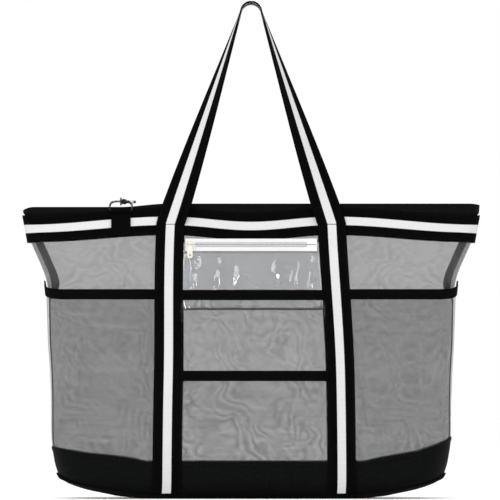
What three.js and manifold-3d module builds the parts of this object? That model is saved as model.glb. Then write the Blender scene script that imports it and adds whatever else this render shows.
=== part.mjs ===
// A mesh beach tote with a boxed fabric base, striped webbing straps and handles,
// outer mesh pockets, a clear zipped pocket, a zipped top and a key clip.
// Millimetres, +Z up. X is the width, -Y is the front. The origin is on the ground,
// under the centre of the base.

import * as THREE from 'three';
import * as BufferGeometryUtils from 'three/addons/utils/BufferGeometryUtils.js';
import Module from 'manifold-3d';

const wasm = await Module();
wasm.setup();

// ---------------------------------------------------------------- driving sizes

// The shell, height by height: [z, half width, half depth, corner radius].
const STATIONS = [
  [0, 150, 44, 40],
  [2.5, 176, 47, 42],
  [6, 194, 50, 44],
  [10.5, 216, 52, 45],
  [15, 232, 53.5, 46],
  [21, 247, 54.8, 46],
  [28, 256, 55.5, 46],
  [40, 261, 56, 46],
  [49.5, 263.5, 56, 46],
  [80, 268, 55, 46],
  [130, 268.5, 53, 45],
  [170, 269.5, 50, 44],
  [205, 271.5, 47.5, 43],
  [240, 272.5, 44.5, 41],
  [262, 273, 42, 39.5],
  [280, 274, 39.5, 38],
  [294, 276.5, 37, 36],
  [305, 280, 35.3, 34.8],
  [320, 286.5, 32.5, 32],
  [338, 294.5, 27, 26.5],
  [347, 298.5, 24.5, 24],
  [372, 303.5, 18.5, 18],
  [392, 305, 13.8, 13.5],
];

const CLEARANCE = 0.4; // between pieces that lie on each other
const SEAM_GAP = 0.2; // from the side seam's plane to each half
const MESH = 1.0; // body mesh thickness
const POCKET_MESH = 0.8;
const CLEAR_FILM = 0.6;
const BASE_FABRIC = 1.4;
const WEBBING = 1.8;
const WEBBING_WIDTH = 38;
const BINDING = 2.4; // folded binding tape, over a pocket's edge
const BINDING_HEIGHT = 14;

const BASE_TOP = 49.5;
const SOLE = { inset: 12, height: 20 }; // the base cloth's inner face at the ground, and where it thins out
const FLOOR_THICKNESS = 2;
const FLOOR_GAP = 3; // between the floor panel and the walls
const PIPING = { bottom: 0.8, top: 7.5, thickness: 2 };
const HEM = { bottom: 377, top: 390.5, endDip: 3.5, thickness: 1.2 };

const STRAP_BOTTOM = 8.5;
const STRAP_TOP = 368;
const STRAP_SPREAD = 116.8; // from the middle to each strap's centre line, at the ground
const STRAP_LEAN = 8.7; // how much closer it is at its top

// Both panels' cloth, with its straps, drifts towards +X below the band.
const DRIFT = { amount: 5.5, start: 360, full: 160 };

// Heights of the band's centre line: over the straps, in the middle and at the ends.
const BAND = { strap: 371.5, middle: 364.5, end: 361, lift: 0.8 };

const HANDLE = { top: 665, bend: 14, innerY: -19.4, segments: 22, bendSegments: 8 };

// Outer pockets. lift is how far the sheet stands off the body at its mouth.
const SIDE_POCKET = { top: 280, rise: 12, lift: 12, seam: 1.2, edge: 1.2 };
const UPPER_POCKET = { top: 279, lift: 14.5, edge: 0.6 };
const LOWER_POCKET = { top: 171, lift: 11.2, edge: 1.8 };
const OVER_CLEAR_POCKET = 2.4; // the upper pocket's edge, where it lies on the clear pocket's
const UPPER_POCKET_LIFT_BEHIND = 2.2; // where the lower pocket covers the upper one
const POCKET_RAMP = 12; // width over which a pocket rises from its seam

const CLEAR_POCKET = { bottom: 252, widest: 292, lift: 11, bottomLift: 3 };
const POCKET_ZIP = { z: 338, offset: 5.5, tape: 0.6, half: 9, length: 148, end: 14, coil: 1.1, gap: 0.65 };

const SIDE_BINDING = { width: 11, thickness: 1.8, inset: 7, bottom: 60, top: 338 };

const TOP_ZIP = {
  hinge: { y: -12.6, z: 386.2 },
  middleZ: 383,
  length: 580,
  toothed: 524,
  tape: 0.8,
  notch: 5.5,
  edge: 2.7,
  coil: 1.2,
  gap: 0.75,
};
const SLIDER_PARK = 277; // the slider's distance from the middle when the zip is shut
const ZIP_END = { x: 290.7, radius: 11.6, thickness: 1.2, z: 383.2 };

const TAB = { x: -174.5, width: 26, bottom: 352, length: 37, thickness: 1.6, bore: 1.7 };
const RING = { width: 32, height: 13.6, wire: 2.2 };

const COLOURS = {
  black: [0x111312, 0.85, 0],
  mesh: [0x4b4d50, 0.8, 0],
  webbing: [0x141414, 0.8, 0],
  clear: [0xdfe6ea, 0.12, 0],
  white: [0xe4e5e7, 0.75, 0],
  coil: [0x0d0d0d, 0.5, 0],
  silver: [0xc9cacc, 0.25, 1],
  cream: [0xd8d5c8, 0.35, 0.6],
  blackMetal: [0x151515, 0.35, 0.8],
};

// ---------------------------------------------------------------- helpers

const bag = new THREE.Group();

function addTo(parent, name, geometry, colour) {
  const [color, roughness, metalness] = COLOURS[colour];
  const mesh = new THREE.Mesh(geometry, new THREE.MeshStandardMaterial({ color, roughness, metalness }));
  mesh.name = name;
  parent.add(mesh);
  return mesh;
}

// A sewn piece of the front, or of the back, which is made as a front and turned round.
function addCloth(parent, side, name, geometry, colour) {
  const toRight = side === 'front' ? DRIFT.amount : -DRIFT.amount;
  const position = geometry.attributes.position;
  for (let k = 0; k < position.count; k += 1) {
    const x = position.getX(k);
    const z = position.getZ(k);
    const share = THREE.MathUtils.smoothstep(-z, -DRIFT.start, -DRIFT.full);
    const fromSide = Math.max(0, 1 - (x / sectionAt(z).a) ** 2);
    position.setX(k, x + toRight * share * fromSide);
  }
  return addTo(parent, name, geometry, colour);
}

function groupAt(parent, x, y, z, rotationX = 0, rotationZ = 0) {
  const group = new THREE.Group();
  group.position.set(x, y, z);
  group.rotation.set(rotationX, 0, rotationZ, 'ZYX');
  parent.add(group);
  return group;
}

function lerp(a, b, t) {
  return a + (b - a) * t;
}

function clamp01(t) {
  return Math.min(1, Math.max(0, t));
}

// The shell's half width a, half depth b and corner radius r at height z.
function sectionAt(z) {
  let upper = 1;
  while (upper < STATIONS.length - 1 && STATIONS[upper][0] < z) upper += 1;
  const [z0, a0, b0, r0] = STATIONS[upper - 1];
  const [z1, a1, b1, r1] = STATIONS[upper];
  const t = (z - z0) / (z1 - z0);
  return { a: lerp(a0, a1, t), b: lerp(b0, b1, t), r: lerp(r0, r1, t) };
}

function stationsBetween(low, high) {
  const inside = STATIONS.map((station) => station[0]).filter((z) => z > low + 1 && z < high - 1);
  return [low, ...inside, high];
}

// The front half of the outline runs from the left side seam, s = -1, past the front's
// middle, s = 0, to the right side seam, s = 1. Its corners lie between FLAT and CORNER.
const FLAT = 0.55;
const CORNER = 0.95;
const ARC_STEPS = 5;

function outlinePoint(s, z, offset) {
  const { a, b, r } = sectionAt(z);
  const side = Math.sign(s);
  const distance = Math.abs(s);
  if (distance <= FLAT) return new THREE.Vector3(((a - r) * s) / FLAT, -b - offset, z);
  if (distance <= CORNER) {
    const angle = (((distance - FLAT) / (CORNER - FLAT)) * Math.PI) / 2;
    const reach = r + offset;
    return new THREE.Vector3(side * (a - r + reach * Math.sin(angle)), -(b - r) - reach * Math.cos(angle), z);
  }
  const along = (distance - CORNER) / (1 - CORNER);
  return new THREE.Vector3(side * (a + offset), lerp(-(b - r), -SEAM_GAP, along), z);
}

function sAtX(x, z) {
  const { a, r } = sectionAt(z);
  return (x * FLAT) / (a - r);
}

const CORNER_COLUMNS = Array.from({ length: ARC_STEPS + 1 }, (_, i) => lerp(FLAT, CORNER, i / ARC_STEPS));
const RIGHT_COLUMNS = [...CORNER_COLUMNS, 1];
const LEFT_COLUMNS = RIGHT_COLUMNS.map((s) => -s).reverse();

// A closed sheet: a segmented box whose corners are moved to place(i, j, outside), for
// column i, row j, and its inner or outer face.
function sheet(columns, rows, place) {
  const geometry = new THREE.BoxGeometry(1, 1, 1, columns - 1, rows - 1, 1);
  const position = geometry.attributes.position;
  for (let k = 0; k < position.count; k += 1) {
    const i = Math.round((position.getX(k) + 0.5) * (columns - 1));
    const j = Math.round((position.getY(k) + 0.5) * (rows - 1));
    const point = place(i, j, position.getZ(k) > 0);
    position.setXYZ(k, point.x, point.y, point.z);
  }
  matchInnerFace(geometry);
  geometry.computeVertexNormals();
  return geometry;
}

// Splits the inner face's quads along the same diagonals as the outer face's, so that a
// thin sheet keeps its thickness where it twists.
function matchInnerFace(geometry) {
  const { start, count } = geometry.groups[5];
  const index = geometry.index.array;
  for (let k = start; k < start + count; k += 6) {
    const [a, b, d, , c] = index.slice(k, k + 6);
    index.set([a, b, c, a, c, d], k);
  }
}

// A sheet that follows the shell's front half. columns are values of s or functions of z,
// rows are heights or functions of s, and lift(s, z) is the inner face's offset.
function shellSheet(columns, rows, lift, thickness) {
  return sheet(columns.length, rows.length, (i, j, outside) => {
    const column = columns[i];
    const row = rows[j];
    const guess = typeof column === 'function' ? column(typeof row === 'function' ? row(0.4) : row) : column;
    const z = typeof row === 'function' ? row(guess) : row;
    const s = typeof column === 'function' ? column(z) : column;
    return outlinePoint(s, z, lift(s, z) + (outside ? thickness : 0));
  });
}

function toSolid(geometry) {
  const bare = geometry.clone();
  bare.deleteAttribute('normal');
  bare.deleteAttribute('uv');
  const merged = BufferGeometryUtils.mergeVertices(bare, 1e-4);
  const vertProperties = new Float32Array(merged.attributes.position.array);
  const triVerts = new Uint32Array(merged.index.array);
  return new wasm.Manifold(new wasm.Mesh({ numProp: 3, vertProperties, triVerts }));
}

function fromSolid(solid) {
  const mesh = solid.getMesh();
  const geometry = new THREE.BufferGeometry();
  geometry.setAttribute('position', new THREE.BufferAttribute(new Float32Array(mesh.vertProperties), 3));
  geometry.setIndex(new THREE.BufferAttribute(new Uint32Array(mesh.triVerts), 1));
  geometry.computeVertexNormals();
  return geometry;
}

function box(x0, x1, y0, y1, z0, z1) {
  const geometry = new THREE.BoxGeometry(x1 - x0, y1 - y0, z1 - z0);
  return geometry.translate((x0 + x1) / 2, (y0 + y1) / 2, (z0 + z1) / 2);
}

function plate(shape, depth, curveSegments = 6) {
  return new THREE.ExtrudeGeometry(shape, { depth, bevelEnabled: false, curveSegments });
}

function roundedShape(x0, x1, y0, y1, r) {
  const shape = new THREE.Shape();
  shape.moveTo(x0 + r, y0);
  shape.lineTo(x1 - r, y0);
  shape.absarc(x1 - r, y0 + r, r, -Math.PI / 2, 0);
  shape.lineTo(x1, y1 - r);
  shape.absarc(x1 - r, y1 - r, r, 0, Math.PI / 2);
  shape.lineTo(x0 + r, y1);
  shape.absarc(x0 + r, y1 - r, r, Math.PI / 2, Math.PI);
  shape.lineTo(x0, y0 + r);
  shape.absarc(x0 + r, y0 + r, r, Math.PI, 1.5 * Math.PI);
  return shape;
}

function polygon(points) {
  return new THREE.Shape(points.map(([x, y]) => new THREE.Vector2(x, y)));
}

// ---------------------------------------------------------------- base

function addBase() {
  const wallRows = stationsBetween(0, BASE_TOP);
  const pipingRows = stationsBetween(PIPING.bottom, PIPING.top);
  const columns = [...LEFT_COLUMNS, ...RIGHT_COLUMNS];
  for (const [side, turned] of halves()) {
    addCloth(turned, side, `base_${side}`, baseWall(columns, wallRows), 'black');
    const piping = shellSheet(columns, pipingRows, () => CLEARANCE, PIPING.thickness);
    addCloth(turned, side, `base_piping_${side}`, piping, 'black');
  }
  const { a, b, r } = sectionAt(0);
  const inset = SOLE.inset + FLOOR_GAP;
  const outline = roundedShape(inset - a, a - inset, inset - b, b - inset, r - inset);
  addTo(bag, 'base_floor', plate(outline, FLOOR_THICKNESS), 'black');
}

// The wall curves in to the ground, so its inner face steps further in there.
function baseWall(columns, rows) {
  return sheet(columns.length, rows.length, (i, j, outside) => {
    const inset = lerp(SOLE.inset, BASE_FABRIC, clamp01(rows[j] / SOLE.height));
    return outlinePoint(columns[i], rows[j], outside ? 0 : -inset);
  });
}

// ---------------------------------------------------------------- body

function addBody() {
  const columns = [...LEFT_COLUMNS, ...RIGHT_COLUMNS];
  const meshRows = stationsBetween(BASE_TOP + CLEARANCE, HEM.bottom - CLEARANCE);
  const hemRows = [() => HEM.bottom, hemTop];
  for (const [side, turned] of halves()) {
    const panel = shellSheet(columns, meshRows, () => -MESH, MESH);
    addCloth(turned, side, `mesh_${side}`, panel, 'mesh');
    const hem = shellSheet(columns, hemRows, () => -HEM.thickness, HEM.thickness);
    addTo(turned, `hem_${side}`, hem, 'black');
  }
  for (const [side, sign] of [['left', -1], ['right', 1]]) {
    addTo(bag, `side_binding_${side}`, sideBinding(sign), 'black');
  }
}

// The rim dips a little towards the side seams.
function hemTop(s) {
  return HEM.top - HEM.endDip * THREE.MathUtils.smoothstep(Math.abs(s), FLAT, 1);
}

// The taped edge of a side seam, which stands inward.
function sideBinding(sign) {
  const { width, thickness, inset, bottom, top } = SIDE_BINDING;
  const rows = stationsBetween(bottom, top);
  return sheet(2, rows.length, (i, j, outside) => {
    const middle = sign * (sectionAt(rows[j]).a - inset - width / 2);
    return new THREE.Vector3(middle + (i - 0.5) * width, outside ? -thickness / 2 : thickness / 2, rows[j]);
  });
}

// Groups for the front half and, turned half round, the back half.
function halves() {
  return [
    ['front', groupAt(bag, 0, 0, 0)],
    ['back', groupAt(bag, 0, 0, 0, 0, Math.PI)],
  ];
}

// ---------------------------------------------------------------- band and straps

// The band is pulled up by the straps and hangs a little between and beyond them.
function bandCentre(x) {
  const distance = Math.abs(x);
  const strap = STRAP_SPREAD - STRAP_LEAN;
  if (distance < strap) {
    return lerp(BAND.strap, BAND.middle, 0.5 + 0.5 * Math.cos((Math.PI * distance) / strap));
  }
  const beyond = clamp01((distance - strap) / (sectionAt(BAND.end).a - strap));
  return lerp(BAND.strap, BAND.end, 0.5 - 0.5 * Math.cos(Math.PI * beyond));
}

function bandHeight(s, share) {
  const { x } = outlinePoint(s, BAND.middle, 0);
  return bandCentre(x) + (share - 0.5) * WEBBING_WIDTH;
}

function band() {
  const steps = 16;
  const flat = Array.from({ length: steps - 1 }, (_, i) => lerp(-FLAT, FLAT, (i + 1) / steps));
  const columns = [...LEFT_COLUMNS, ...flat, ...RIGHT_COLUMNS];
  const rows = [0, 0.25, 0.5, 0.75, 1].map((share) => (s) => bandHeight(s, share));
  return shellSheet(columns, rows, () => BAND.lift, WEBBING);
}

function strapCentre(z) {
  return STRAP_SPREAD - STRAP_LEAN * (z / STRAP_TOP) ** 2;
}

// A strap lies on the body, and on the band at its top.
function strapLift(z) {
  const overBand = BAND.lift + WEBBING + CLEARANCE;
  return z > BAND.strap - WEBBING_WIDTH / 2 - 10 ? overBand : CLEARANCE;
}

function strap(sign) {
  const rows = stationsBetween(STRAP_BOTTOM, STRAP_TOP);
  return sheet(2, rows.length, (i, j, outside) => {
    const z = rows[j];
    const x = sign * strapCentre(z) + (i - 0.5) * WEBBING_WIDTH;
    const offset = strapLift(z) + (outside ? WEBBING : 0);
    return new THREE.Vector3(x, -sectionAt(z).b - offset, z);
  });
}

function addStraps() {
  for (const [side, turned] of halves()) {
    addTo(turned, `band_${side}`, band(), 'webbing');
    // Seen from the front, the turned back half has its own left on the right.
    const leftSign = side === 'front' ? -1 : 1;
    addCloth(turned, side, `strap_${side}_left`, strap(leftSign), 'webbing');
    addCloth(turned, side, `strap_${side}_right`, strap(-leftSign), 'webbing');
    addTo(turned, `handle_${side}`, handle(), 'webbing');
  }
}

// One leg leans in from the strap to a small bend at the top. Along it the webbing turns
// from facing forward to facing outward, so that it is level at the bend. The foot is cut
// level, to meet the strap.
function handle() {
  const foot = new THREE.Vector2(-strapCentre(STRAP_TOP), STRAP_TOP + CLEARANCE);
  const footY = -sectionAt(STRAP_TOP).b - strapLift(STRAP_TOP) - WEBBING / 2;
  const centre = new THREE.Vector2(0, HANDLE.top - HANDLE.bend);
  const toCentre = centre.clone().sub(foot);
  const lean = Math.atan2(toCentre.x, toCentre.y) - Math.asin(HANDLE.bend / toCentre.length());
  const outward = new THREE.Vector2(-Math.cos(lean), Math.sin(lean));
  const legEnd = centre.clone().addScaledVector(outward, HANDLE.bend);
  const half = [];
  for (let i = 0; i <= HANDLE.segments; i += 1) {
    const t = i / HANDLE.segments;
    const turn = (Math.PI / 2) * t ** 0.75;
    const at = foot.clone().lerp(legEnd, t);
    const square = i === 0 ? new THREE.Vector2(-1, 0) : outward;
    half.push({ x: at.x, z: at.y, y: lerp(footY, HANDLE.innerY, t), turn, outward: square });
  }
  for (let i = 1; i <= HANDLE.bendSegments; i += 1) {
    const angle = lerp(Math.PI / 2 - lean, 0, i / HANDLE.bendSegments);
    const direction = new THREE.Vector2(-Math.sin(angle), Math.cos(angle));
    const at = centre.clone().addScaledVector(direction, HANDLE.bend);
    half.push({ x: at.x, z: at.y, y: HANDLE.innerY, turn: Math.PI / 2, outward: direction });
  }
  const mirrored = half.slice(0, -1).reverse().map((station) => ({
    ...station,
    x: -station.x,
    outward: new THREE.Vector2(-station.outward.x, station.outward.y),
  }));
  return ribbon([...half, ...mirrored]);
}

// Webbing through the given stations. Each has its place, the in-plane direction away from
// the loop, and the turn of its face from forward (0) to that direction (90 degrees).
function ribbon(stations) {
  return sheet(stations.length, 2, (i, j, outside) => {
    const { x, y, z, turn, outward } = stations[i];
    const out = new THREE.Vector3(outward.x, 0, outward.y);
    const forward = new THREE.Vector3(0, -1, 0);
    const normal = forward.clone().multiplyScalar(Math.cos(turn)).addScaledVector(out, Math.sin(turn));
    const across = out.clone().multiplyScalar(Math.cos(turn)).addScaledVector(forward, -Math.sin(turn));
    return new THREE.Vector3(x, y, z)
      .addScaledVector(across, (j - 0.5) * WEBBING_WIDTH)
      .addScaledVector(normal, (outside ? 0.5 : -0.5) * WEBBING);
  });
}

// ---------------------------------------------------------------- mesh pockets

function strapEdge(sign, inner) {
  const reach = WEBBING_WIDTH / 2 + CLEARANCE;
  return (z) => sAtX(sign * (strapCentre(z) + (inner ? -reach : reach)), z);
}

function shifted(edge, millimetres) {
  return (z) => edge(z) + sAtX(millimetres, z);
}

// The height of a side pocket's mouth: level, and rising to the side seam.
function sideMouth(s) {
  const start = 0.62;
  return SIDE_POCKET.top + SIDE_POCKET.rise * clamp01((Math.abs(s) - start) / (1 - start)) ** 2;
}

function sidePocketLift(edgeLift) {
  return (s, z) => {
    const height = clamp01((z - BASE_TOP) / (SIDE_POCKET.top - BASE_TOP));
    const full = lerp(edgeLift, SIDE_POCKET.lift, height);
    const towardSeam = clamp01((Math.abs(s) - FLAT) / (CORNER - FLAT));
    const distance = Math.abs(s) - Math.abs(strapEdge(1, false)(z));
    const ramp = clamp01(distance / sAtX(POCKET_RAMP, z));
    return lerp(edgeLift, lerp(full, SIDE_POCKET.seam, towardSeam), ramp);
  };
}

function addSidePocket(name, sign) {
  const edge = strapEdge(sign, false);
  const inward = sign < 0 ? [shifted(edge, -POCKET_RAMP), edge] : [edge, shifted(edge, POCKET_RAMP)];
  const columns = sign < 0 ? [...LEFT_COLUMNS, ...inward] : [...inward, ...RIGHT_COLUMNS];
  const meshTop = (s) => sideMouth(s) - BINDING_HEIGHT - CLEARANCE;
  const rows = [...stationsBetween(BASE_TOP + CLEARANCE, SIDE_POCKET.top - 30), meshTop];
  const lift = sidePocketLift(SIDE_POCKET.edge);
  addCloth(bag, 'front', name, shellSheet(columns, rows, lift, POCKET_MESH), 'mesh');
  const bindingRows = [(s) => sideMouth(s) - BINDING_HEIGHT, (s) => sideMouth(s)];
  addCloth(bag, 'front', `${name}_binding`, shellSheet(columns, bindingRows, lift, BINDING), 'black');
}

function centreColumns() {
  const left = strapEdge(-1, true);
  const right = strapEdge(1, true);
  return [left, shifted(left, POCKET_RAMP), shifted(right, -POCKET_RAMP), right];
}

// A pocket between the straps: its lift grows from the seams to liftAt(z).
function centreLift(edgeLiftAt, liftAt) {
  return (s, z) => {
    const distance = Math.abs(strapEdge(1, true)(z)) - Math.abs(s);
    const ramp = clamp01(distance / sAtX(POCKET_RAMP, z));
    return lerp(edgeLiftAt(z), liftAt(z), ramp);
  };
}

function upperPocketEdge(z) {
  const start = CLEAR_POCKET.bottom - 24;
  return lerp(UPPER_POCKET.edge, OVER_CLEAR_POCKET, clamp01((z - start) / 8));
}

function upperPocketLift(z) {
  const behind = clamp01((z - BASE_TOP) / (LOWER_POCKET.top - BASE_TOP));
  const above = clamp01((z - LOWER_POCKET.top) / (UPPER_POCKET.top - LOWER_POCKET.top));
  return lerp(lerp(UPPER_POCKET.edge, UPPER_POCKET_LIFT_BEHIND, behind), UPPER_POCKET.lift, above);
}

function lowerPocketLift(z) {
  const height = clamp01((z - BASE_TOP) / (LOWER_POCKET.top - BASE_TOP));
  return lerp(LOWER_POCKET.edge, LOWER_POCKET.lift, height);
}

function addCentrePocket(name, top, edgeLiftAt, liftAt) {
  const lift = centreLift(edgeLiftAt, liftAt);
  const rows = stationsBetween(BASE_TOP + CLEARANCE, top - BINDING_HEIGHT - CLEARANCE);
  addCloth(bag, 'front', name, shellSheet(centreColumns(), rows, lift, POCKET_MESH), 'mesh');
  const bindingRows = stationsBetween(top - BINDING_HEIGHT, top);
  const binding = shellSheet(centreColumns(), bindingRows, lift, BINDING);
  addCloth(bag, 'front', `${name}_binding`, binding, 'black');
}

// ---------------------------------------------------------------- clear pocket

function clearPocketLift(z) {
  const top = POCKET_ZIP.z - POCKET_ZIP.half;
  const topLift = POCKET_ZIP.offset;
  if (z > CLEAR_POCKET.widest) {
    return lerp(CLEAR_POCKET.lift, topLift, clamp01((z - CLEAR_POCKET.widest) / (top - CLEAR_POCKET.widest)));
  }
  const height = clamp01((z - CLEAR_POCKET.bottom) / (CLEAR_POCKET.widest - CLEAR_POCKET.bottom));
  return lerp(CLEAR_POCKET.bottomLift, CLEAR_POCKET.lift, height);
}

function addClearPocket() {
  const top = POCKET_ZIP.z - POCKET_ZIP.half - CLEARANCE;
  const backRows = stationsBetween(CLEAR_POCKET.bottom, POCKET_ZIP.z + POCKET_ZIP.half - 2);
  const back = shellSheet(centreColumns(), backRows, () => CLEARANCE, CLEAR_FILM);
  addCloth(bag, 'front', 'clear_pocket_back', back, 'clear');
  const frontRows = stationsBetween(CLEAR_POCKET.bottom, top);
  const edgeLift = 2 * CLEARANCE + CLEAR_FILM;
  const front = shellSheet(centreColumns(), frontRows, centreLift(() => edgeLift, clearPocketLift), CLEAR_FILM);
  addCloth(bag, 'front', 'clear_pocket_front', front, 'clear');
}

// A frame on the sloping front under the band: X along the zip, Y up the slope, Z outward.
function pocketZipFrame() {
  const low = sectionAt(POCKET_ZIP.z - POCKET_ZIP.half).b;
  const high = sectionAt(POCKET_ZIP.z + POCKET_ZIP.half).b;
  const slope = Math.atan2(low - high, 2 * POCKET_ZIP.half);
  return groupAt(bag, 0, -(low + high) / 2, POCKET_ZIP.z, Math.PI / 2 - slope);
}

function addPocketZip() {
  const frame = pocketZipFrame();
  const { offset, tape, half, length, end, coil, gap } = POCKET_ZIP;
  const tapeEdge = gap + 2 * coil;
  const top = half - 0.6;
  const span = length / 2;
  addTo(frame, 'pocket_zip_tape_upper', box(-span, span, tapeEdge + 0.3, top, offset, offset + tape), 'white');
  addTo(frame, 'pocket_zip_tape_lower', box(-span, span, -half, -tapeEdge - 0.3, offset, offset + tape), 'white');
  for (const [name, sign] of [['upper', 1], ['lower', -1]]) {
    const rod = new THREE.CylinderGeometry(coil, coil, length, 10);
    rod.rotateZ(Math.PI / 2).translate(0, sign * (gap + coil), offset + tape / 2);
    addTo(frame, `pocket_zip_coil_${name}`, rod, 'white');
  }
  for (const [name, sign] of [['left', -1], ['right', 1]]) {
    addTo(frame, `pocket_zip_end_${name}`, pocketZipEnd(sign, span + 0.3, span + end, top), 'white');
  }
  addSlider(frame, 'pocket_zip', -(span + end - 6.2), offset + tape / 2, 'cream', hangingPull());
}

// Where the two tapes are sewn together past the teeth, slit for the slider's neck.
function pocketZipEnd(sign, near, far, top) {
  const { offset, tape, half, gap } = POCKET_ZIP;
  const wall = 0.8;
  const points = [
    [near, -half],
    [far, -half],
    [far, top],
    [near, top],
    [near, gap],
    [far - wall, gap],
    [far - wall, -gap],
    [near, -gap],
  ];
  const outline = polygon(sign > 0 ? points : points.map(([x, y]) => [-x, y]).reverse());
  return plate(outline, tape).translate(0, 0, offset);
}

// ---------------------------------------------------------------- zip sliders and pulls

const SLIDER = { length: 11, width: 8.4, plate: 0.9, clear: 1.6, neck: 0.4 };
const BRIDGE = { reach: 4.2, rise: 3.6, bar: 1.1, width: 1.6 };
const PULL = { length: 22, width: 6.4, thickness: 1.2, slot: 5.8, pin: 0.7, pivot: 1.4 };
const HANGING_PULL = { length: 20, width: 7, thickness: 1, knuckle: 1.2, knuckleWall: 0.8, knuckleWidth: 4 };

// A slider on teeth whose middle is at height centre of the frame. It travels along X and
// its outer face looks along Z. park is its place on X, and pull is made with its pivot at
// its origin.
function addSlider(frame, name, park, centre, colour, pull) {
  const { length, width, plate: skin, clear, neck } = SLIDER;
  const outerTop = centre + clear + skin;
  const outline = roundedShape(-length / 2, length / 2, -width / 2, width / 2, 2.2);
  const outer = plate(outline, skin, 4).translate(0, 0, centre + clear);
  const inner = plate(outline, skin, 4).translate(0, 0, centre - clear - skin);
  const post = box(-length / 2 + 0.4, -length / 2 + 4.4, -neck, neck, centre - clear - 0.2, centre + clear + 0.2);
  const bridge = bridgeArch().translate(0, 0, outerTop);
  const body = toSolid(outer).add(toSolid(inner)).add(toSolid(post)).add(toSolid(bridge));
  addTo(frame, `${name}_slider`, fromSolid(body), colour).position.x = park;
  addTo(frame, `${name}_pull`, pull.geometry, colour).position.set(park, 0, outerTop + pull.pivot);
}

// The loop on the slider that holds the pull, as an outline in X and Z.
function bridgeArch() {
  const { reach, rise, bar, width } = BRIDGE;
  const slant = 0.5 * bar;
  const outside = [
    [-reach, -0.2],
    [-reach, rise - 2 * slant],
    [-reach + 2 * slant, rise],
  ];
  const inside = [
    [-reach + 2.4 * slant, rise - bar],
    [-reach + bar, rise - bar - slant],
    [-reach + bar, -0.2],
  ];
  const mirror = (points) => points.map(([x, z]) => [-x, z]).reverse();
  const outline = [...mirror(inside), ...inside, ...outside, ...mirror(outside)];
  const arch = plate(polygon(outline), width);
  return arch.rotateX(Math.PI / 2).translate(0, width / 2, 0);
}

// A pull that lies along +X from its pin, the short bar that closes its slot.
function lyingPull() {
  const { length, width, thickness, slot, pin, pivot } = PULL;
  const shape = roundedShape(-pin, length, -width / 2, width / 2, pin);
  shape.holes.push(roundedShape(pin, slot, -1.5, 1.5, 0.6));
  const eye = new THREE.Path();
  eye.absarc(length - 4, 0, 1.6, 0, 2 * Math.PI, true);
  shape.holes.push(eye);
  return { geometry: plate(shape, thickness, 4).translate(0, 0, -thickness / 2), pivot };
}

// A pull that hangs along -Y from a knuckle round the bridge's bar.
function hangingPull() {
  const { length, width, thickness, knuckle, knuckleWall, knuckleWidth } = HANGING_PULL;
  const reach = knuckle + knuckleWall;
  const ring = new THREE.Shape();
  ring.absarc(0, 0, reach, 0, 2 * Math.PI);
  const bore = new THREE.Path();
  bore.absarc(0, 0, knuckle, 0, 2 * Math.PI, true);
  ring.holes.push(bore);
  const loop = plate(ring, knuckleWidth, 8).rotateY(Math.PI / 2).translate(-knuckleWidth / 2, 0, 0);
  const shape = roundedShape(-width / 2, width / 2, -length, -knuckle - 1.6, 2.4);
  const eye = new THREE.Path();
  eye.absarc(0, -length + 4, 1.7, 0, 2 * Math.PI, true);
  shape.holes.push(eye);
  const blade = plate(shape, thickness, 5).translate(0, 0, -reach);
  const neck = box(-knuckleWidth / 2, knuckleWidth / 2, -knuckle - 2, -knuckle - 0.1, -reach, -reach + thickness);
  const geometry = fromSolid(toSolid(loop).add(toSolid(blade)).add(toSolid(neck)));
  return { geometry, pivot: BRIDGE.rise - BRIDGE.bar / 2 };
}

// ---------------------------------------------------------------- top zip

function addTopZip() {
  for (const [side, turned] of halves()) {
    const flap = topFlapFrame(turned);
    addTo(flap, `zip_tape_${side}`, topTape(), 'black');
    addTo(flap, `zip_coil_${side}`, topCoil(), 'coil');
  }
  for (const [side, sign] of [['left', -1], ['right', 1]]) {
    addTo(bag, `zip_end_${side}`, topZipEnd(sign), 'black');
  }
  const track = groupAt(bag, 0, 0, 0);
  addSlider(track, 'zip', -SLIDER_PARK, TOP_ZIP.middleZ + 0.4, 'silver', lyingPull());
}

// A frame at the flap's fold: X along it, Y down the slope to the teeth, Z up.
function topFlapFrame(parent) {
  const { hinge, middleZ } = TOP_ZIP;
  return groupAt(parent, 0, hinge.y, hinge.z, Math.atan2(middleZ - hinge.z, -hinge.y));
}

// Half of the zip's tape, cut back at its ends where the slider parks.
function topTape() {
  const { hinge, length, toothed, tape, notch, edge } = TOP_ZIP;
  const reach = -hinge.y;
  const outline = polygon([
    [-length / 2, 0],
    [length / 2, 0],
    [length / 2, reach - notch],
    [toothed / 2, reach - notch],
    [toothed / 2, reach - edge],
    [-toothed / 2, reach - edge],
    [-toothed / 2, reach - notch],
    [-length / 2, reach - notch],
  ]);
  return plate(outline, tape).translate(0, 0, -tape / 2);
}

function topCoil() {
  const { hinge, middleZ, toothed, coil, gap, edge } = TOP_ZIP;
  const reach = Math.hypot(hinge.y, middleZ - hinge.z);
  const thickness = edge - gap - 0.4;
  const rod = new THREE.CylinderGeometry(thickness / 2, thickness / 2, toothed, 10);
  rod.rotateZ(Math.PI / 2).scale(1, 1, (2 * coil) / thickness);
  return rod.translate(0, reach - gap - thickness / 2, 0);
}

// The patch that closes the top between the zip's end and the side seam.
function topZipEnd(sign) {
  const { x, radius, thickness, z } = ZIP_END;
  const shape = new THREE.Shape();
  shape.absarc(0, 0, radius, -Math.PI / 2, Math.PI / 2);
  const patch = plate(shape, thickness, 12);
  if (sign < 0) patch.rotateZ(Math.PI);
  return patch.translate(sign * x, 0, z);
}

// ---------------------------------------------------------------- key clip

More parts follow.
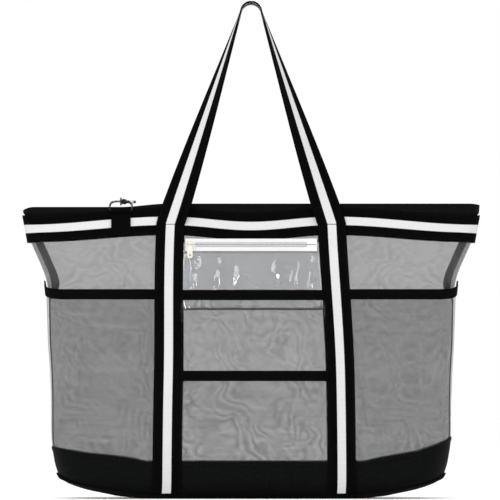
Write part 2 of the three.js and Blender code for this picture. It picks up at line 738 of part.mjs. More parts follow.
// A frame on the band at the tab: X along the band, Y up its face, Z outward.
function tabFrame() {
  const low = sectionAt(TAB.bottom).b;
  const high = sectionAt(TAB.bottom + TAB.length).b;
  const slope = Math.atan2(low - high, TAB.length);
  const y = -low - BAND.lift - WEBBING - CLEARANCE;
  return groupAt(bag, TAB.x, y, TAB.bottom, Math.PI / 2 - slope);
}

// A strip of webbing sewn to the band, with a loop at its top round the ring's bar.
function tab() {
  const { width, length, thickness, bore } = TAB;
  const outer = bore + thickness;
  const shape = new THREE.Shape();
  shape.moveTo(0, 0);
  shape.lineTo(thickness, 0);
  shape.lineTo(thickness, length - 2 * outer);
  shape.absarc(outer, length - outer, outer, -0.7 * Math.PI, Math.PI);
  shape.lineTo(0, 0);
  const hole = new THREE.Path();
  hole.absarc(outer, length - outer, bore, 0, 2 * Math.PI, true);
  shape.holes.push(hole);
  // The outline's x is outward and its y is up, so it is turned to look along X.
  return plate(shape, width, 8).rotateY(-Math.PI / 2).translate(width / 2, 0, 0);
}

// A D ring in its own XY plane, its straight bar on the X axis and its bow above it.
function dRing() {
  const { width, height, wire } = RING;
  const radius = wire / 2;
  const half = width / 2 - radius;
  const rise = height - radius;
  const corner = 5.2;
  const path = new THREE.CurvePath();
  const at = (x, y) => new THREE.Vector3(x, y, 0);
  const bow = new THREE.QuadraticBezierCurve3(at(half, rise * 0.4), at(half, rise), at(half - corner * 1.6, rise));
  const back = new THREE.QuadraticBezierCurve3(at(-half + corner * 1.6, rise), at(-half, rise), at(-half, rise * 0.4));
  path.add(new THREE.LineCurve3(at(0, 0), at(half - 1, 0)));
  path.add(new THREE.QuadraticBezierCurve3(at(half - 1, 0), at(half, 0), at(half, 1)));
  path.add(new THREE.LineCurve3(at(half, 1), at(half, rise * 0.4)));
  path.add(bow);
  path.add(new THREE.LineCurve3(bow.v2, back.v0));
  path.add(back);
  path.add(new THREE.LineCurve3(at(-half, rise * 0.4), at(-half, 1)));
  path.add(new THREE.QuadraticBezierCurve3(at(-half, 1), at(-half, 0), at(-half + 1, 0)));
  path.add(new THREE.LineCurve3(at(-half + 1, 0), at(-0.3, 0)));
  return tubeAlong(path, radius, 5, 40);
}

function tubeAlong(path, radius, sides, steps) {
  const section = new THREE.Shape();
  section.absarc(0, 0, radius, 0, 2 * Math.PI);
  return new THREE.ExtrudeGeometry(section, { extrudePath: path, steps, curveSegments: sides });
}

// The hook's frame: its origin is the middle of the ring's bow, and it lies along +Y.
const HOOK = { eye: 4.4, wire: 1.1, post: 1.3, collar: 3.6, collarStart: 7.2, collarLength: 5 };
const HOOK_PLATE = { length: 26, width: 13.4, wall: 2.8, thickness: 3.4 };
const HOOK_HEADING = -0.42; // the hook's turn to the right of straight back, in radians

function swivelEye() {
  const { eye, wire, post, collarStart } = HOOK;
  const ring = new THREE.TorusGeometry(eye, wire, 8, 20).rotateY(Math.PI / 2).rotateZ(-HOOK_HEADING);
  const stem = new THREE.CylinderGeometry(post, post, collarStart + 3 - eye, 12);
  stem.translate(0, (collarStart + 3 + eye) / 2, 0);
  const button = new THREE.CylinderGeometry(post + 0.9, post + 0.9, 1.2, 12).translate(0, eye + wire + 0.7, 0);
  return fromSolid(toSolid(ring).add(toSolid(stem)).add(toSolid(button)));
}

// A flat snap hook: a collar that turns on the eye's post, and a bow open on one side.
function snapHook() {
  const { post, collar, collarStart, collarLength } = HOOK;
  const start = collarStart + 0.3;
  const sleeve = new THREE.CylinderGeometry(collar, collar, collarLength, 16);
  sleeve.translate(0, start + collarLength / 2, 0);
  const bore = new THREE.CylinderGeometry(post + 0.4, post + 0.4, 4, 12).translate(0, start + 1.5, 0);
  const solid = toSolid(sleeve).add(toSolid(hookBow(start + collarLength))).subtract(toSolid(bore));
  return fromSolid(solid);
}

function hookBow(start) {
  const { length, width, wall, thickness } = HOOK_PLATE;
  const half = width / 2;
  const far = start + length - half;
  const shape = new THREE.Shape();
  shape.moveTo(-2.5, start - 1);
  shape.lineTo(2.5, start - 1);
  shape.lineTo(half - 0.6, start);
  shape.lineTo(half - 0.6, start + 1.8);
  shape.lineTo(-half + wall, start + 5);
  shape.lineTo(-half + wall, far);
  shape.absarc(0, far, half - wall, Math.PI, 0, true);
  shape.lineTo(half - wall, far - 2);
  shape.lineTo(half, far - 2);
  shape.absarc(0, far, half, 0, Math.PI);
  shape.lineTo(-half, start + 4);
  return plate(shape, thickness, 10).translate(0, 0, -thickness / 2);
}

// The sprung lever that closes the hook, from its pivot by the collar to the bow's tip.
function hookLever() {
  const { length, width, wall } = HOOK_PLATE;
  const start = HOOK.collarStart + 0.3 + HOOK.collarLength;
  const half = width / 2;
  const tip = start + length - half - 2.4;
  const pivotX = half - wall / 2 - 0.6;
  const shape = roundedShape(pivotX - 1.1, pivotX + 1.1, start + 2.9, tip, 1);
  return plate(shape, 2.2, 4).translate(0, 0, -1.1);
}

function addKeyClip() {
  const frame = tabFrame();
  addTo(frame, 'clip_tab', tab(), 'webbing');
  const outer = TAB.bore + TAB.thickness;
  const ring = addTo(frame, 'd_ring', dRing(), 'blackMetal');
  ring.position.set(0, TAB.length - outer, outer);
  const bow = new THREE.Object3D();
  bow.position.set(0, TAB.length - outer + RING.height - RING.wire / 2, outer);
  frame.add(bow);
  bag.updateMatrixWorld(true);
  const at = bow.getWorldPosition(new THREE.Vector3());
  frame.remove(bow);
  const hook = groupAt(bag, at.x, at.y, at.z, 0, HOOK_HEADING);
  addTo(hook, 'swivel_eye', swivelEye(), 'blackMetal');
  addTo(hook, 'snap_hook', snapHook(), 'blackMetal');
  addTo(hook, 'hook_lever', hookLever(), 'silver');
}

// ---------------------------------------------------------------- assembly

addBase();
addBody();
addStraps();
addSidePocket('pocket_left', -1);
addSidePocket('pocket_right', 1);
addCentrePocket('pocket_upper', UPPER_POCKET.top, upperPocketEdge, upperPocketLift);
addCentrePocket('pocket_lower', LOWER_POCKET.top, () => LOWER_POCKET.edge, lowerPocketLift);
addClearPocket();
addPocketZip();
addTopZip();
addKeyClip();

export default bag;
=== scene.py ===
"""Looks for the mesh beach tote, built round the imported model.

Metres, +Z up, the front faces -Y. Cloth pieces follow the CAD shell, whose sections are
read from the frame. The back is the front turned half round, but its cloth drifts the same way.
"""
import math

import bpy
from mathutils import Matrix, Vector, noise


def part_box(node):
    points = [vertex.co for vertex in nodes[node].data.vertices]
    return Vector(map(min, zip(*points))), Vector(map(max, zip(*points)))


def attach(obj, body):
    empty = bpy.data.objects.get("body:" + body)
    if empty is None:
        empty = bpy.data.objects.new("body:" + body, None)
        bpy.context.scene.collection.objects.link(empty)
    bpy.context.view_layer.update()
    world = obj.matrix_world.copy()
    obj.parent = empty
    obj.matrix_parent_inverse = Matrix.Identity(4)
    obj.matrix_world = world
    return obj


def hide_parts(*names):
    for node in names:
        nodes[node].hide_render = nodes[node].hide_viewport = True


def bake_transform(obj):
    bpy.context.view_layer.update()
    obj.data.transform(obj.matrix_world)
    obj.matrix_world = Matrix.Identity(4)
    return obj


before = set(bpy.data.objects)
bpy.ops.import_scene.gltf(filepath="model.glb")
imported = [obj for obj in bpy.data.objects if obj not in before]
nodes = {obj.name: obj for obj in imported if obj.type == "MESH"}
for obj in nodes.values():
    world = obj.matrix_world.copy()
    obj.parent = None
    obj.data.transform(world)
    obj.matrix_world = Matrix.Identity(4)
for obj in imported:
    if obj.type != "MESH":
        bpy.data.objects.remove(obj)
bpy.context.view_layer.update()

# ---------------------------------------------------------------- driving sizes

MM = 0.001
SHARP_ANGLE = math.radians(40)
BEVEL_ANGLE = math.radians(35)

FLAT = 0.55  # share of the outline's half that is flat
CORNER = 0.95  # where its corner ends, before the side seam

WEBBING_WIDTH = 38 * MM
WEBBING = 1.8 * MM
STRIPE = 11.7 * MM  # width of the white stripe
STRAP_SPREAD = 116.8 * MM
STRAP_LEAN = 8.7 * MM
STRAP_TOP = 368 * MM
STRAP_BOTTOM = 7.6 * MM
STRAP_GAP = 0.4 * MM  # from the shell to a strap
STRAP_STEP = 2.6 * MM  # how much further out a strap lies over the band
STRAP_STEP_BELOW = 12 * MM  # how far below the band the step starts
STRAP_STEP_RUN = 10 * MM  # and how far up it takes
DRIFT = 5.5 * MM  # how far the panels' cloth drifts to the right below the band
DRIFT_START = 360 * MM
DRIFT_FULL = 160 * MM

BAND_STRAP = 371.5 * MM
BAND_MIDDLE = 364.5 * MM
BAND_END = 361 * MM
BAND_OUT = 1.7 * MM  # from the shell to the middle of the band's thickness

HANDLE_TOP = 665 * MM
HANDLE_BEND = 14 * MM
HANDLE_INNER_Y = 19.4 * MM
TACK_HALF = 17.5 * MM  # half the length of the row that tacks a strap
TACK_THREAD = 0.45 * MM
TACK_DROP = 1.2 * MM

BASE_TOP = 49.5 * MM
BASE_RISE = {-1: 20 * MM, 1: 33 * MM}  # how much higher the base stands at its left and right
BASE_BOW = {-1: 0.55, 1: 0.8}  # below 1 its edge climbs fast at first
BASE_LEVEL = 0.38  # its edge is level up to here, from 0 in the middle to 1 at the side seam
BASE_CLIMB = 0.52  # and climbs over this much more
BASE_CREASE = 0.5 * MM
BASE_CREASE_SIZE = 34 * MM
BASE_FOLD = (6 * MM, 1.0 * MM)  # width and thickness of its turned edge
FOOT_SEAM = (7.5 * MM, 1.9 * MM)  # width and thickness of the seam at the base's foot
FOOT_LOW = 5 * MM
FOOT_CLIMB = 26 * MM
FOOT_LEVEL = 0.42  # this seam is level up to here, on the same scale as BASE_LEVEL
BASE_FABRIC = 1.2 * MM
MESH_DEPTH = 1.8 * MM  # from the shell in to the body mesh
MESH_TOP = 374 * MM
SLACK = 1.5 * MM  # how far the mesh hangs in between its seams
SLACK_FOLDS = 3.5 * MM  # and how much more in its folds

HEM_BOTTOM = 368 * MM
HEM_TOP = 390.5 * MM
HEM_END_DIP = {-1: 5 * MM, 1: 2 * MM}  # how much lower the rim is at its left and right end
HEM_SWELL = 4.5 * MM  # how much higher the rim stands past the key clip
HEM_SWELL_START = -0.33  # from -1 at the left seam to 1 at the right seam
HEM_SWELL_RUN = 0.12
HEM_THICKNESS = 1.2 * MM
HEM_FLARE = 1.9 * MM  # how far the hem stands out above the band
HEM_FLARE_START = 380 * MM
HEM_FLARE_RUN = 3 * MM
RIM = 392 * MM  # the shell's sections end here

SEAM_LIES = 262 * MM  # below this the side seam's edge lies on the wall
SEAM_STANDS = 296 * MM  # above this it stands inward
SEAM_BOTTOM = 60 * MM
SEAM_TOP = 345 * MM
SEAM_INSIDE = 2.1 * MM  # from the shell in to the seam
SEAM_SWAY = 1.6 * MM
SEAM_ALLOWANCE = 6 * MM
SEAM_TAPE_REACH = 10.5 * MM
SEAM_TAPE_SIZE = (11 * MM, 1.5 * MM)

BINDING_HEIGHT = 14 * MM
BINDING = 2.2 * MM

SIDE_MOUTH = 280 * MM
SIDE_RISE = 12 * MM
SIDE_LIFT = 12 * MM
SIDE_SEAM_LIFT = 0.8 * MM
SIDE_STRAP_LIFT = 1.2 * MM
SIDE_BOW_START = 0.62  # where a side mouth starts to rise
UPPER_MOUTH = 279 * MM
UPPER_LIFT = 14.5 * MM
LOWER_MOUTH = 171 * MM
LOWER_LIFT = 11.2 * MM
POCKET_RAMP = 12 * MM
SEWN_SINK = 0.4 * MM  # how far a sewn edge sinks below the shell
UNDER_STRAP = 3 * MM  # how far a pocket runs under its strap
CENTRE_STEPS = 41
FILM_STEPS = 81

CLEAR_BOTTOM = 252 * MM
CLEAR_WIDEST = 292 * MM
CLEAR_TOP = 328.6 * MM
CLEAR_LIFT = 11 * MM
CLEAR_BOTTOM_LIFT = 3 * MM
CLEAR_TOP_LIFT = 5.5 * MM
CLEAR_EDGE_LIFT = 1.6 * MM
FILM_THICKNESS = 0.35 * MM
BACKING_THICKNESS = 0.3 * MM
BACKING_LIFT = 1.0 * MM
BACKING_TOP = 345 * MM

# The upright folds that the film keeps: distance from the middle, depth and width.
FILM_FOLDS = (
    (-79 * MM, 2.3 * MM, 3.0 * MM),
    (-52 * MM, 1.9 * MM, 3.6 * MM),
    (-26 * MM, 1.3 * MM, 4.6 * MM),
    (22 * MM, 1.1 * MM, 5.4 * MM),
    (55 * MM, 1.5 * MM, 4.2 * MM),
    (78 * MM, 2.2 * MM, 3.2 * MM),
)

TOP_HINGE = Vector((0, -12.6 * MM, 386.2 * MM))
TOP_MIDDLE = Vector((0, 0, 383 * MM))
TOP_TOOTHED = 524 * MM
TOP_LENGTH = 580 * MM
TOP_TAPE = 0.7 * MM
ZIP_END_GAP = 0.3 * MM  # from the pocket zip's tapes to its sewn end patches
POCKET_TAPE = 0.6 * MM

# The pitch of a zip's teeth, then the width, reach and height of one tooth.
TOP_TEETH = (1.6 * MM, (0.9 * MM, 2.6 * MM, 2.0 * MM))
POCKET_TEETH = (1.35 * MM, (0.75 * MM, 2.2 * MM, 1.9 * MM))

# Four squares make a tooth, from root to tip: reach, half width and half height as shares.
TOOTH_RINGS = ((-0.5, 0.5, 0.36), (0.1, 0.5, 0.5), (0.42, 0.62, 0.4), (0.5, 0.4, 0.2))

CAMERA_TARGET = Vector((-1.5 * MM, 0, 0.333))
CAMERA_DISTANCE = 9.0
CAMERA_ELEVATION = math.radians(-1)
CAMERA_LENS = 482.5
CAMERA_SENSOR = 36

FLOOR_SIZE = 30
LIGHT_TARGET = Vector((0, 0, 0.25))

# Name, place, width and height, power.
LIGHTS = (
    ("key_light", (-1.1, -1.5, 1.5), (0.9, 0.9), 9),
    ("fill_light", (1.3, -1.6, 0.9), (0.5, 1.1), 5),
    ("glint_light", (-0.5, -1.5, 0.75), (0.08, 0.7), 4),
    ("top_light", (0.1, 0.3, 1.9), (1.4, 0.7), 8),
)

# ---------------------------------------------------------------- small helpers


def lerp(a, b, t):
    return a + (b - a) * t


def clamp(t):
    return min(1.0, max(0.0, t))


def smooth(t):
    t = clamp(t)
    return t * t * (3 - 2 * t)


def spread(low, high, count):
    """count values from low to high, both included."""
    return [lerp(low, high, k / (count - 1)) for k in range(count)]


def wobble(x, z, size, seed):
    """Smooth noise from -1 to 1 over the cloth, with features about size across."""
    return noise.noise(Vector((x / size, z / size, seed)))


# ---------------------------------------------------------------- the shell


def read_stations():
    """Height, half width, half depth and corner radius of the shell, off the CAD walls.

    The walls' last slope carries on up to the rim.
    """
    levels = {}
    for name in ("base_front", "mesh_front"):
        for vertex in nodes[name].data.vertices:
            levels.setdefault(round(vertex.co.z / (0.1 * MM)), []).append(vertex.co)
    stations = []
    for level in sorted(levels):
        points = levels[level]
        z = level * 0.1 * MM
        if stations and z - stations[-1][0] < 2 * MM:
            continue
        half_width = max(p.x for p in points)
        half_depth = max(-p.y for p in points)
        front = [p.x for p in points if -p.y > half_depth - 0.05 * MM]
        flat = (max(front) - min(front)) / 2
        stations.append((z, half_width, half_depth, half_width - flat))
    low, high = stations[-2:]
    reach = (RIM - high[0]) / (high[0] - low[0])
    stations.append(tuple(lerp(a, b, 1 + reach) for a, b in zip(low, high)))
    return stations


STATIONS = read_stations()


def tangent(k, column):
    """Slope of one column of the stations at station k."""
    low = STATIONS[max(k - 1, 0)]
    high = STATIONS[min(k + 1, len(STATIONS) - 1)]
    return (high[column] - low[column]) / (high[0] - low[0])


def section(z):
    """Half width, half depth and corner radius at height z, by a smooth curve."""
    k = 0
    while k < len(STATIONS) - 2 and STATIONS[k + 1][0] < z:
        k += 1
    low, high = STATIONS[k], STATIONS[k + 1]
    span = high[0] - low[0]
    t = clamp((z - low[0]) / span)
    values = []
    for column in (1, 2, 3):
        start = low[column] * (1 + 2 * t) * (1 - t) ** 2 + tangent(k, column) * span * t * (1 - t) ** 2
        end = high[column] * t * t * (3 - 2 * t) - tangent(k + 1, column) * span * t * t * (1 - t)
        values.append(start + end)
    return values


def outline(s, z, offset):
    """A point of the front half. s runs from the left seam, -1, to the right seam, 1."""
    half_width, half_depth, radius = section(z)
    side = -1 if s < 0 else 1
    distance = abs(s)
    if distance <= FLAT:
        return Vector(((half_width - radius) * s / FLAT, -half_depth - offset, z))
    if distance <= CORNER:
        angle = (distance - FLAT) / (CORNER - FLAT) * math.pi / 2
        reach = radius + offset
        x = half_width - radius + reach * math.sin(angle)
        return Vector((side * x, -(half_depth - radius) - reach * math.cos(angle), z))
    along = (distance - CORNER) / (1 - CORNER)
    return Vector((side * (half_width + offset), -(half_depth - radius) * (1 - along), z))


def drifted(point):
    """Below the band both panels' cloth, with its straps, drifts towards +X."""
    share = smooth((DRIFT_START - point.z) / (DRIFT_START - DRIFT_FULL))
    from_side = max(0, 1 - (point.x / section(point.z)[0]) ** 2)
    return Vector((point.x + DRIFT * share * from_side, point.y, point.z))


def s_at(x, z):
    """The outline's s at x, on its flat front."""
    half_width, _, radius = section(z)
    return x * FLAT / (half_width - radius)


def shell_frame(s, z, offset):
    """A point on the shell with the directions up it and out of it."""
    here = outline(s, z, offset)
    step = 0.004
    along = outline(min(s + step, 1), z, offset) - outline(max(s - step, -1), z, offset)
    up = outline(s, z + 2 * MM, offset) - outline(s, z - 2 * MM, offset)
    up.normalize()
    out = along.cross(up).normalized()
    return here, up, out


FRONT = Matrix.Identity(4)
BACK = Matrix.Rotation(math.pi, 4, "Z")
SIDES = (("front", FRONT), ("back", BACK))


def wide_columns(flat_steps, corner_steps):
    """Values of s over the whole front half, closer together at the corners."""
    corner = spread(FLAT, CORNER, corner_steps)[1:] + [0.98, 1.0]
    return [-s for s in reversed(corner)] + spread(-FLAT, FLAT, flat_steps) + corner


# ---------------------------------------------------------------- mesh builders


def new_object(name, vertices, faces, uvs, turn=FRONT):
    """A smooth-shaded mesh object. uvs holds one place on the cloth per vertex, in metres."""
    mesh = bpy.data.meshes.new(name)
    mesh.from_pydata([drifted(turn @ v) for v in vertices], [], faces)
    layer = mesh.uv_layers.new(name="weave")
    for loop in mesh.loops:
        layer.data[loop.index].uv = uvs[loop.vertex_index]
    for polygon in mesh.polygons:
        polygon.use_smooth = True
    mesh.set_sharp_from_angle(angle=SHARP_ANGLE)
    mesh.validate()
    obj = bpy.data.objects.new(name, mesh)
    bpy.context.scene.collection.objects.link(obj)
    return obj


def cloth(name, columns, rows, place, turn=FRONT):
    """A single sheet over a grid. place(i, j) gives the point for column i and row j."""
    points = [[place(i, j) for i in range(columns)] for j in range(rows)]
    vertices = [p for row in points for p in row]
    uvs = []
    for j, row in enumerate(points):
        across = 0.0
        for i, point in enumerate(row):
            if i:
                across += (point - row[i - 1]).length
            uvs.append((across, point.z))
    faces = []
    for j in range(rows - 1):
        for i in range(columns - 1):
            k = j * columns + i
            faces.append((k, k + 1, k + columns + 1, k + columns))
    return new_object(name, vertices, faces, uvs, turn)


def thicken(obj, thickness):
    """Gives a sheet its thickness, behind the face that looks outward."""
    modifier = obj.modifiers.new("thickness", "SOLIDIFY")
    modifier.thickness = thickness
    modifier.offset = -1
    graph = bpy.context.evaluated_depsgraph_get()
    mesh = bpy.data.meshes.new_from_object(obj.evaluated_get(graph))
    obj.modifiers.clear()
    obj.data = mesh
    return obj


def flat_profile(width, thickness):
    """The closed section of a strip with rounded edges, as (across, outward) pairs."""
    radius = thickness / 2
    half = width / 2 - radius
    hold = half - 0.3 * MM
    points = []
    for side in (1, -1):
        for k in range(5):
            angle = math.pi * (k / 4 - 0.5)
            points.append((side * (half + radius * math.cos(angle)), side * radius * math.sin(angle)))
        points.append((side * hold, side * radius))
        points.append((0, side * radius))
        points.append((-side * hold, side * radius))
    return points


def round_profile(radius, sides=14):
    turns = [2 * math.pi * k / sides for k in range(sides)]
    return [(radius * math.cos(a), radius * math.sin(a)) for a in turns]


def strip(name, stations, profile, turn=FRONT):
    """Sweeps a section along stations of (point, across, outward), with both ends capped."""
    count = len(profile)
    vertices, uvs = [], []
    along = 0.0
    for k, (point, across, out) in enumerate(stations):
        if k:
            along += (point - stations[k - 1][0]).length
        for u, w in profile:
            vertices.append(point + across * u + out * w)
            uvs.append((u, along))
    faces = []
    last = (len(stations) - 1) * count
    for start in range(0, last, count):
        following = start + count
        for m in range(count):
            n = (m + 1) % count
            faces.append((start + m, start + n, following + n, following + m))
    faces.append(tuple(range(count))[::-1])
    faces.append(tuple(last + m for m in range(count)))
    return new_object(name, vertices, faces, uvs, turn)


def outward_faces(obj):
    """Turns every face of a closed piece to look outward."""
    bpy.context.view_layer.objects.active = obj
    obj.select_set(True)
    bpy.ops.object.mode_set(mode="EDIT")
    bpy.ops.mesh.select_all(action="SELECT")
    bpy.ops.mesh.normals_make_consistent(inside=False)
    bpy.ops.object.mode_set(mode="OBJECT")
    obj.select_set(False)
    return obj


def thread(name, points, radius, turn=FRONT):
    """A round thread along points, which never runs straight up."""
    stations = []
    for k, point in enumerate(points):
        before = points[max(k - 1, 0)]
        after = points[min(k + 1, len(points) - 1)]
        ahead = (after - before).normalized()
        across = ahead.cross(Vector((0, 0, 1))).normalized()
        stations.append((point, across, across.cross(ahead).normalized()))
    return outward_faces(strip(name, stations, round_profile(radius), turn))


def finish_piece(obj, body, slot, material, *replaced):
    """Gives a piece its body and material, and hides the CAD nodes it stands for. Its slot is not used."""
    obj.data.materials.clear()
    obj.data.materials.append(material)
    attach(obj, body)
    if replaced:
        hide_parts(*replaced)
    return obj


# ---------------------------------------------------------------- materials


def new_material(name, **shader):
    material = bpy.data.materials.new(name)
    material.use_nodes = True
    tree = material.node_tree
    principled = next(n for n in tree.nodes if n.type == "BSDF_PRINCIPLED")
    for socket, value in shader.items():
        principled.inputs[socket.replace("_", " ")].default_value = value
    return material, tree, principled


def add_node(tree, kind, inputs=(), **settings):
    made = tree.nodes.new(kind)
    for key, value in settings.items():
        setattr(made, key, value)
    for socket, value in dict(inputs).items():
        if isinstance(value, bpy.types.NodeSocket):
            tree.links.new(value, made.inputs[socket])
        else:
            made.inputs[socket].default_value = value
    return made


def maths(tree, operation, *values, use_clamp=False):
    inputs = dict(enumerate(values))
    return add_node(tree, "ShaderNodeMath", inputs, operation=operation, use_clamp=use_clamp).outputs[0]


def cloth_place(tree, from_uv):
    """The place on the cloth in metres: across, along, and both as one vector."""
    if from_uv:
        vector = add_node(tree, "ShaderNodeUVMap", uv_map="weave").outputs[0]
    else:
        vector = add_node(tree, "ShaderNodeTexCoord").outputs["Object"]
    parts = add_node(tree, "ShaderNodeSeparateXYZ", {0: vector})
    return parts.outputs[0], parts.outputs[1], vector


def wave_of(tree, value, pitch):
    """A sine of value from -1 to 1, once every pitch."""
    return maths(tree, "SINE", maths(tree, "MULTIPLY", value, 2 * math.pi / pitch))


def noise_of(tree, vector, size, detail=3.0):
    inputs = {"Vector": vector, "Scale": 1 / size, "Detail": detail}
    return add_node(tree, "ShaderNodeTexNoise", inputs).outputs[0]


def ranged(tree, value, low, high, from_low=0.0, from_high=1.0):
    inputs = {0: value, 1: from_low, 2: from_high, 3: low, 4: high}
    return add_node(tree, "ShaderNodeMapRange", inputs).outputs[0]


def mixed(tree, share, first, second):
    inputs = {0: share, 6: first, 7: second}
    return add_node(tree, "ShaderNodeMix", inputs, data_type="RGBA").outputs[2]


def set_bump(tree, principled, height, distance, strength=1.0):
    inputs = {"Height": height, "Distance": distance, "Strength": strength}
    bump = add_node(tree, "ShaderNodeBump", inputs)
    tree.links.new(bump.outputs[0], principled.inputs["Normal"])


def grey(value, warmth=0.0):
    return (value * (1 + warmth), value, value * (1 - warmth), 1)


def dashes(tree, across, along, line, pitch):
    """1 on the stitches of a row at distance line from the middle."""
    off = maths(tree, "ABSOLUTE", maths(tree, "SUBTRACT", maths(tree, "ABSOLUTE", across), line))
    near = maths(tree, "LESS_THAN", off, 0.35 * MM)
    stitch = maths(tree, "GREATER_THAN", wave_of(tree, along, pitch), -0.35)
    return maths(tree, "MULTIPLY", near, stitch)


def webbing_material(name, striped):
    """Ribbed webbing, with a white stripe whose edges follow the weave, and stitched edges."""
    material, tree, principled = new_material(name, Roughness=0.85, Specular_IOR_Level=0.02)
    across, along, vector = cloth_place(tree, True)
    rib = wave_of(tree, along, 1.7 * MM)
    warp = wave_of(tree, across, 1.15 * MM)
    mottle = noise_of(tree, vector, 14 * MM)
    dark = mixed(tree, mottle, grey(0.0010), grey(0.0024, 0.05))
    stitches = dashes(tree, across, along, WEBBING_WIDTH / 2 - 2.2 * MM, 3.2 * MM)
    dark = mixed(tree, stitches, dark, grey(0.006))
    colour = dark
    if striped:
        edge = maths(tree, "MULTIPLY_ADD", rib, 0.28 * MM, STRIPE / 2)
        inside = maths(tree, "SUBTRACT", edge, maths(tree, "ABSOLUTE", across))
        mask = maths(tree, "MULTIPLY", inside, 1 / (0.25 * MM), use_clamp=True)
        tone = maths(tree, "MULTIPLY_ADD", rib, 0.5, 0.5)
        white = mixed(tree, tone, grey(0.57), grey(0.66, 0.003))
        white = mixed(tree, ranged(tree, mottle, 0, 0.25), white, grey(0.55, 0.02))
        colour = mixed(tree, mask, dark, white)
    tree.links.new(colour, principled.inputs["Base Color"])
    height = maths(tree, "MULTIPLY_ADD", warp, 0.35, rib)
    height = maths(tree, "MULTIPLY_ADD", stitches, 1.6, height)
    set_bump(tree, principled, height, 0.12 * MM)
    return material


def tape_material(name, tone, from_uv=True):
    """Narrow binding or zip tape with fine ribs along it and one row of stitches."""
    material, tree, principled = new_material(name, Roughness=0.82, Specular_IOR_Level=0.02)
    across, along, vector = cloth_place(tree, from_uv)
    rib = wave_of(tree, along, 1.1 * MM)
    cord = wave_of(tree, across, 0.9 * MM)
    mottle = noise_of(tree, vector, 9 * MM)
    weave = ranged(tree, maths(tree, "ADD", rib, cord), 0, 1, -2, 2)
    shade = mixed(tree, weave, grey(tone * 0.78), grey(tone))
    shade = mixed(tree, ranged(tree, mottle, 0, 0.4), shade, grey(tone * 1.35 if tone < 0.1 else tone * 0.86))
    stitches = dashes(tree, across, along, 3.6 * MM, 2.8 * MM)
    shade = mixed(tree, maths(tree, "MULTIPLY", stitches, 0.6), shade, grey(min(tone * 2.4, 0.72)))
    tree.links.new(shade, principled.inputs["Base Color"])
    height = maths(tree, "MULTIPLY_ADD", stitches, 1.4, maths(tree, "ADD", rib, cord))
    set_bump(tree, principled, height, 0.1 * MM)
    return material


def coated_material(name, from_uv=True):
    """Black oxford cloth with a thin coating: a fine basket weave, soft creases and dust."""
    material, tree, principled = new_material(name, Specular_IOR_Level=0.04)
    across, along, vector = cloth_place(tree, from_uv)
    weave = maths(tree, "MULTIPLY", wave_of(tree, across, 1.3 * MM), wave_of(tree, along, 1.3 * MM))
    mottle = noise_of(tree, vector, 30 * MM, 4.0)
    dust = noise_of(tree, vector, 4 * MM, 2.0)
    shade = mixed(tree, mottle, (0.0013, 0.0017, 0.0015, 1), (0.0032, 0.0041, 0.0036, 1))
    shade = mixed(tree, ranged(tree, dust, 0, 0.5, 0.55, 0.85), shade, (0.013, 0.015, 0.014, 1))
    tree.links.new(shade, principled.inputs["Base Color"])
    tree.links.new(ranged(tree, mottle, 0.5, 0.78), principled.inputs["Roughness"])
    height = maths(tree, "MULTIPLY_ADD", mottle, 5.0, weave)
    set_bump(tree, principled, height, 0.12 * MM)
    return material


def mesh_material(name, grain, cover):
    """Open net. Threads cross every 1.1 mm.

    grain is how much wavy shading it shows, and cover is the least share of light it stops.
    """
    material, tree, principled = new_material(name, Roughness=0.65, Specular_IOR_Level=0.15)
    across, along, vector = cloth_place(tree, True)
    pitch = 2.2 * MM
    lines = [maths(tree, "ABSOLUTE", wave_of(tree, value, pitch)) for value in (across, along)]
    gap = maths(tree, "MINIMUM", *lines)
    net = ranged(tree, gap, 1, 0, 0.12, 0.54)
    warped = noise_of(tree, vector, 60 * MM, 2.0)
    swirl = maths(tree, "MULTIPLY_ADD", warped, 120 * MM, maths(tree, "MULTIPLY", across, 0.35))
    grain_wave = wave_of(tree, maths(tree, "MULTIPLY_ADD", along, 0.25, swirl), 11 * MM)
    patch = noise_of(tree, vector, 45 * MM, 3.0)
    wavy = maths(tree, "MULTIPLY", grain_wave, ranged(tree, patch, 0, grain, 0.35, 0.7))
    soft = maths(tree, "MULTIPLY_ADD", ranged(tree, patch, -0.05, 0.05), 1.0, wavy)
    alpha = maths(tree, "MULTIPLY_ADD", net, 0.34, maths(tree, "ADD", soft, cover))
    tree.links.new(alpha, principled.inputs["Alpha"])
    thread = mixed(tree, warped, grey(0.055), grey(0.085, -0.02))
    tree.links.new(thread, principled.inputs["Base Color"])
    set_bump(tree, principled, net, 0.08 * MM)
    return material


def film_material(name):
    """Clear flexible film with faint haze and tiny surface ripples."""
    material, tree, principled = new_material(
        name, Transmission_Weight=1.0, IOR=1.46, Specular_IOR_Level=0.5
    )
    _, _, vector = cloth_place(tree, True)
    haze = noise_of(tree, vector, 18 * MM, 4.0)
    tone = mixed(tree, haze, (0.97, 0.98, 0.99, 1), (0.90, 0.92, 0.93, 1))
    tree.links.new(tone, principled.inputs["Base Color"])
    tree.links.new(ranged(tree, haze, 0.015, 0.05), principled.inputs["Roughness"])
    set_bump(tree, principled, noise_of(tree, vector, 26 * MM, 1.0), 1.2 * MM, 0.6)
    return material


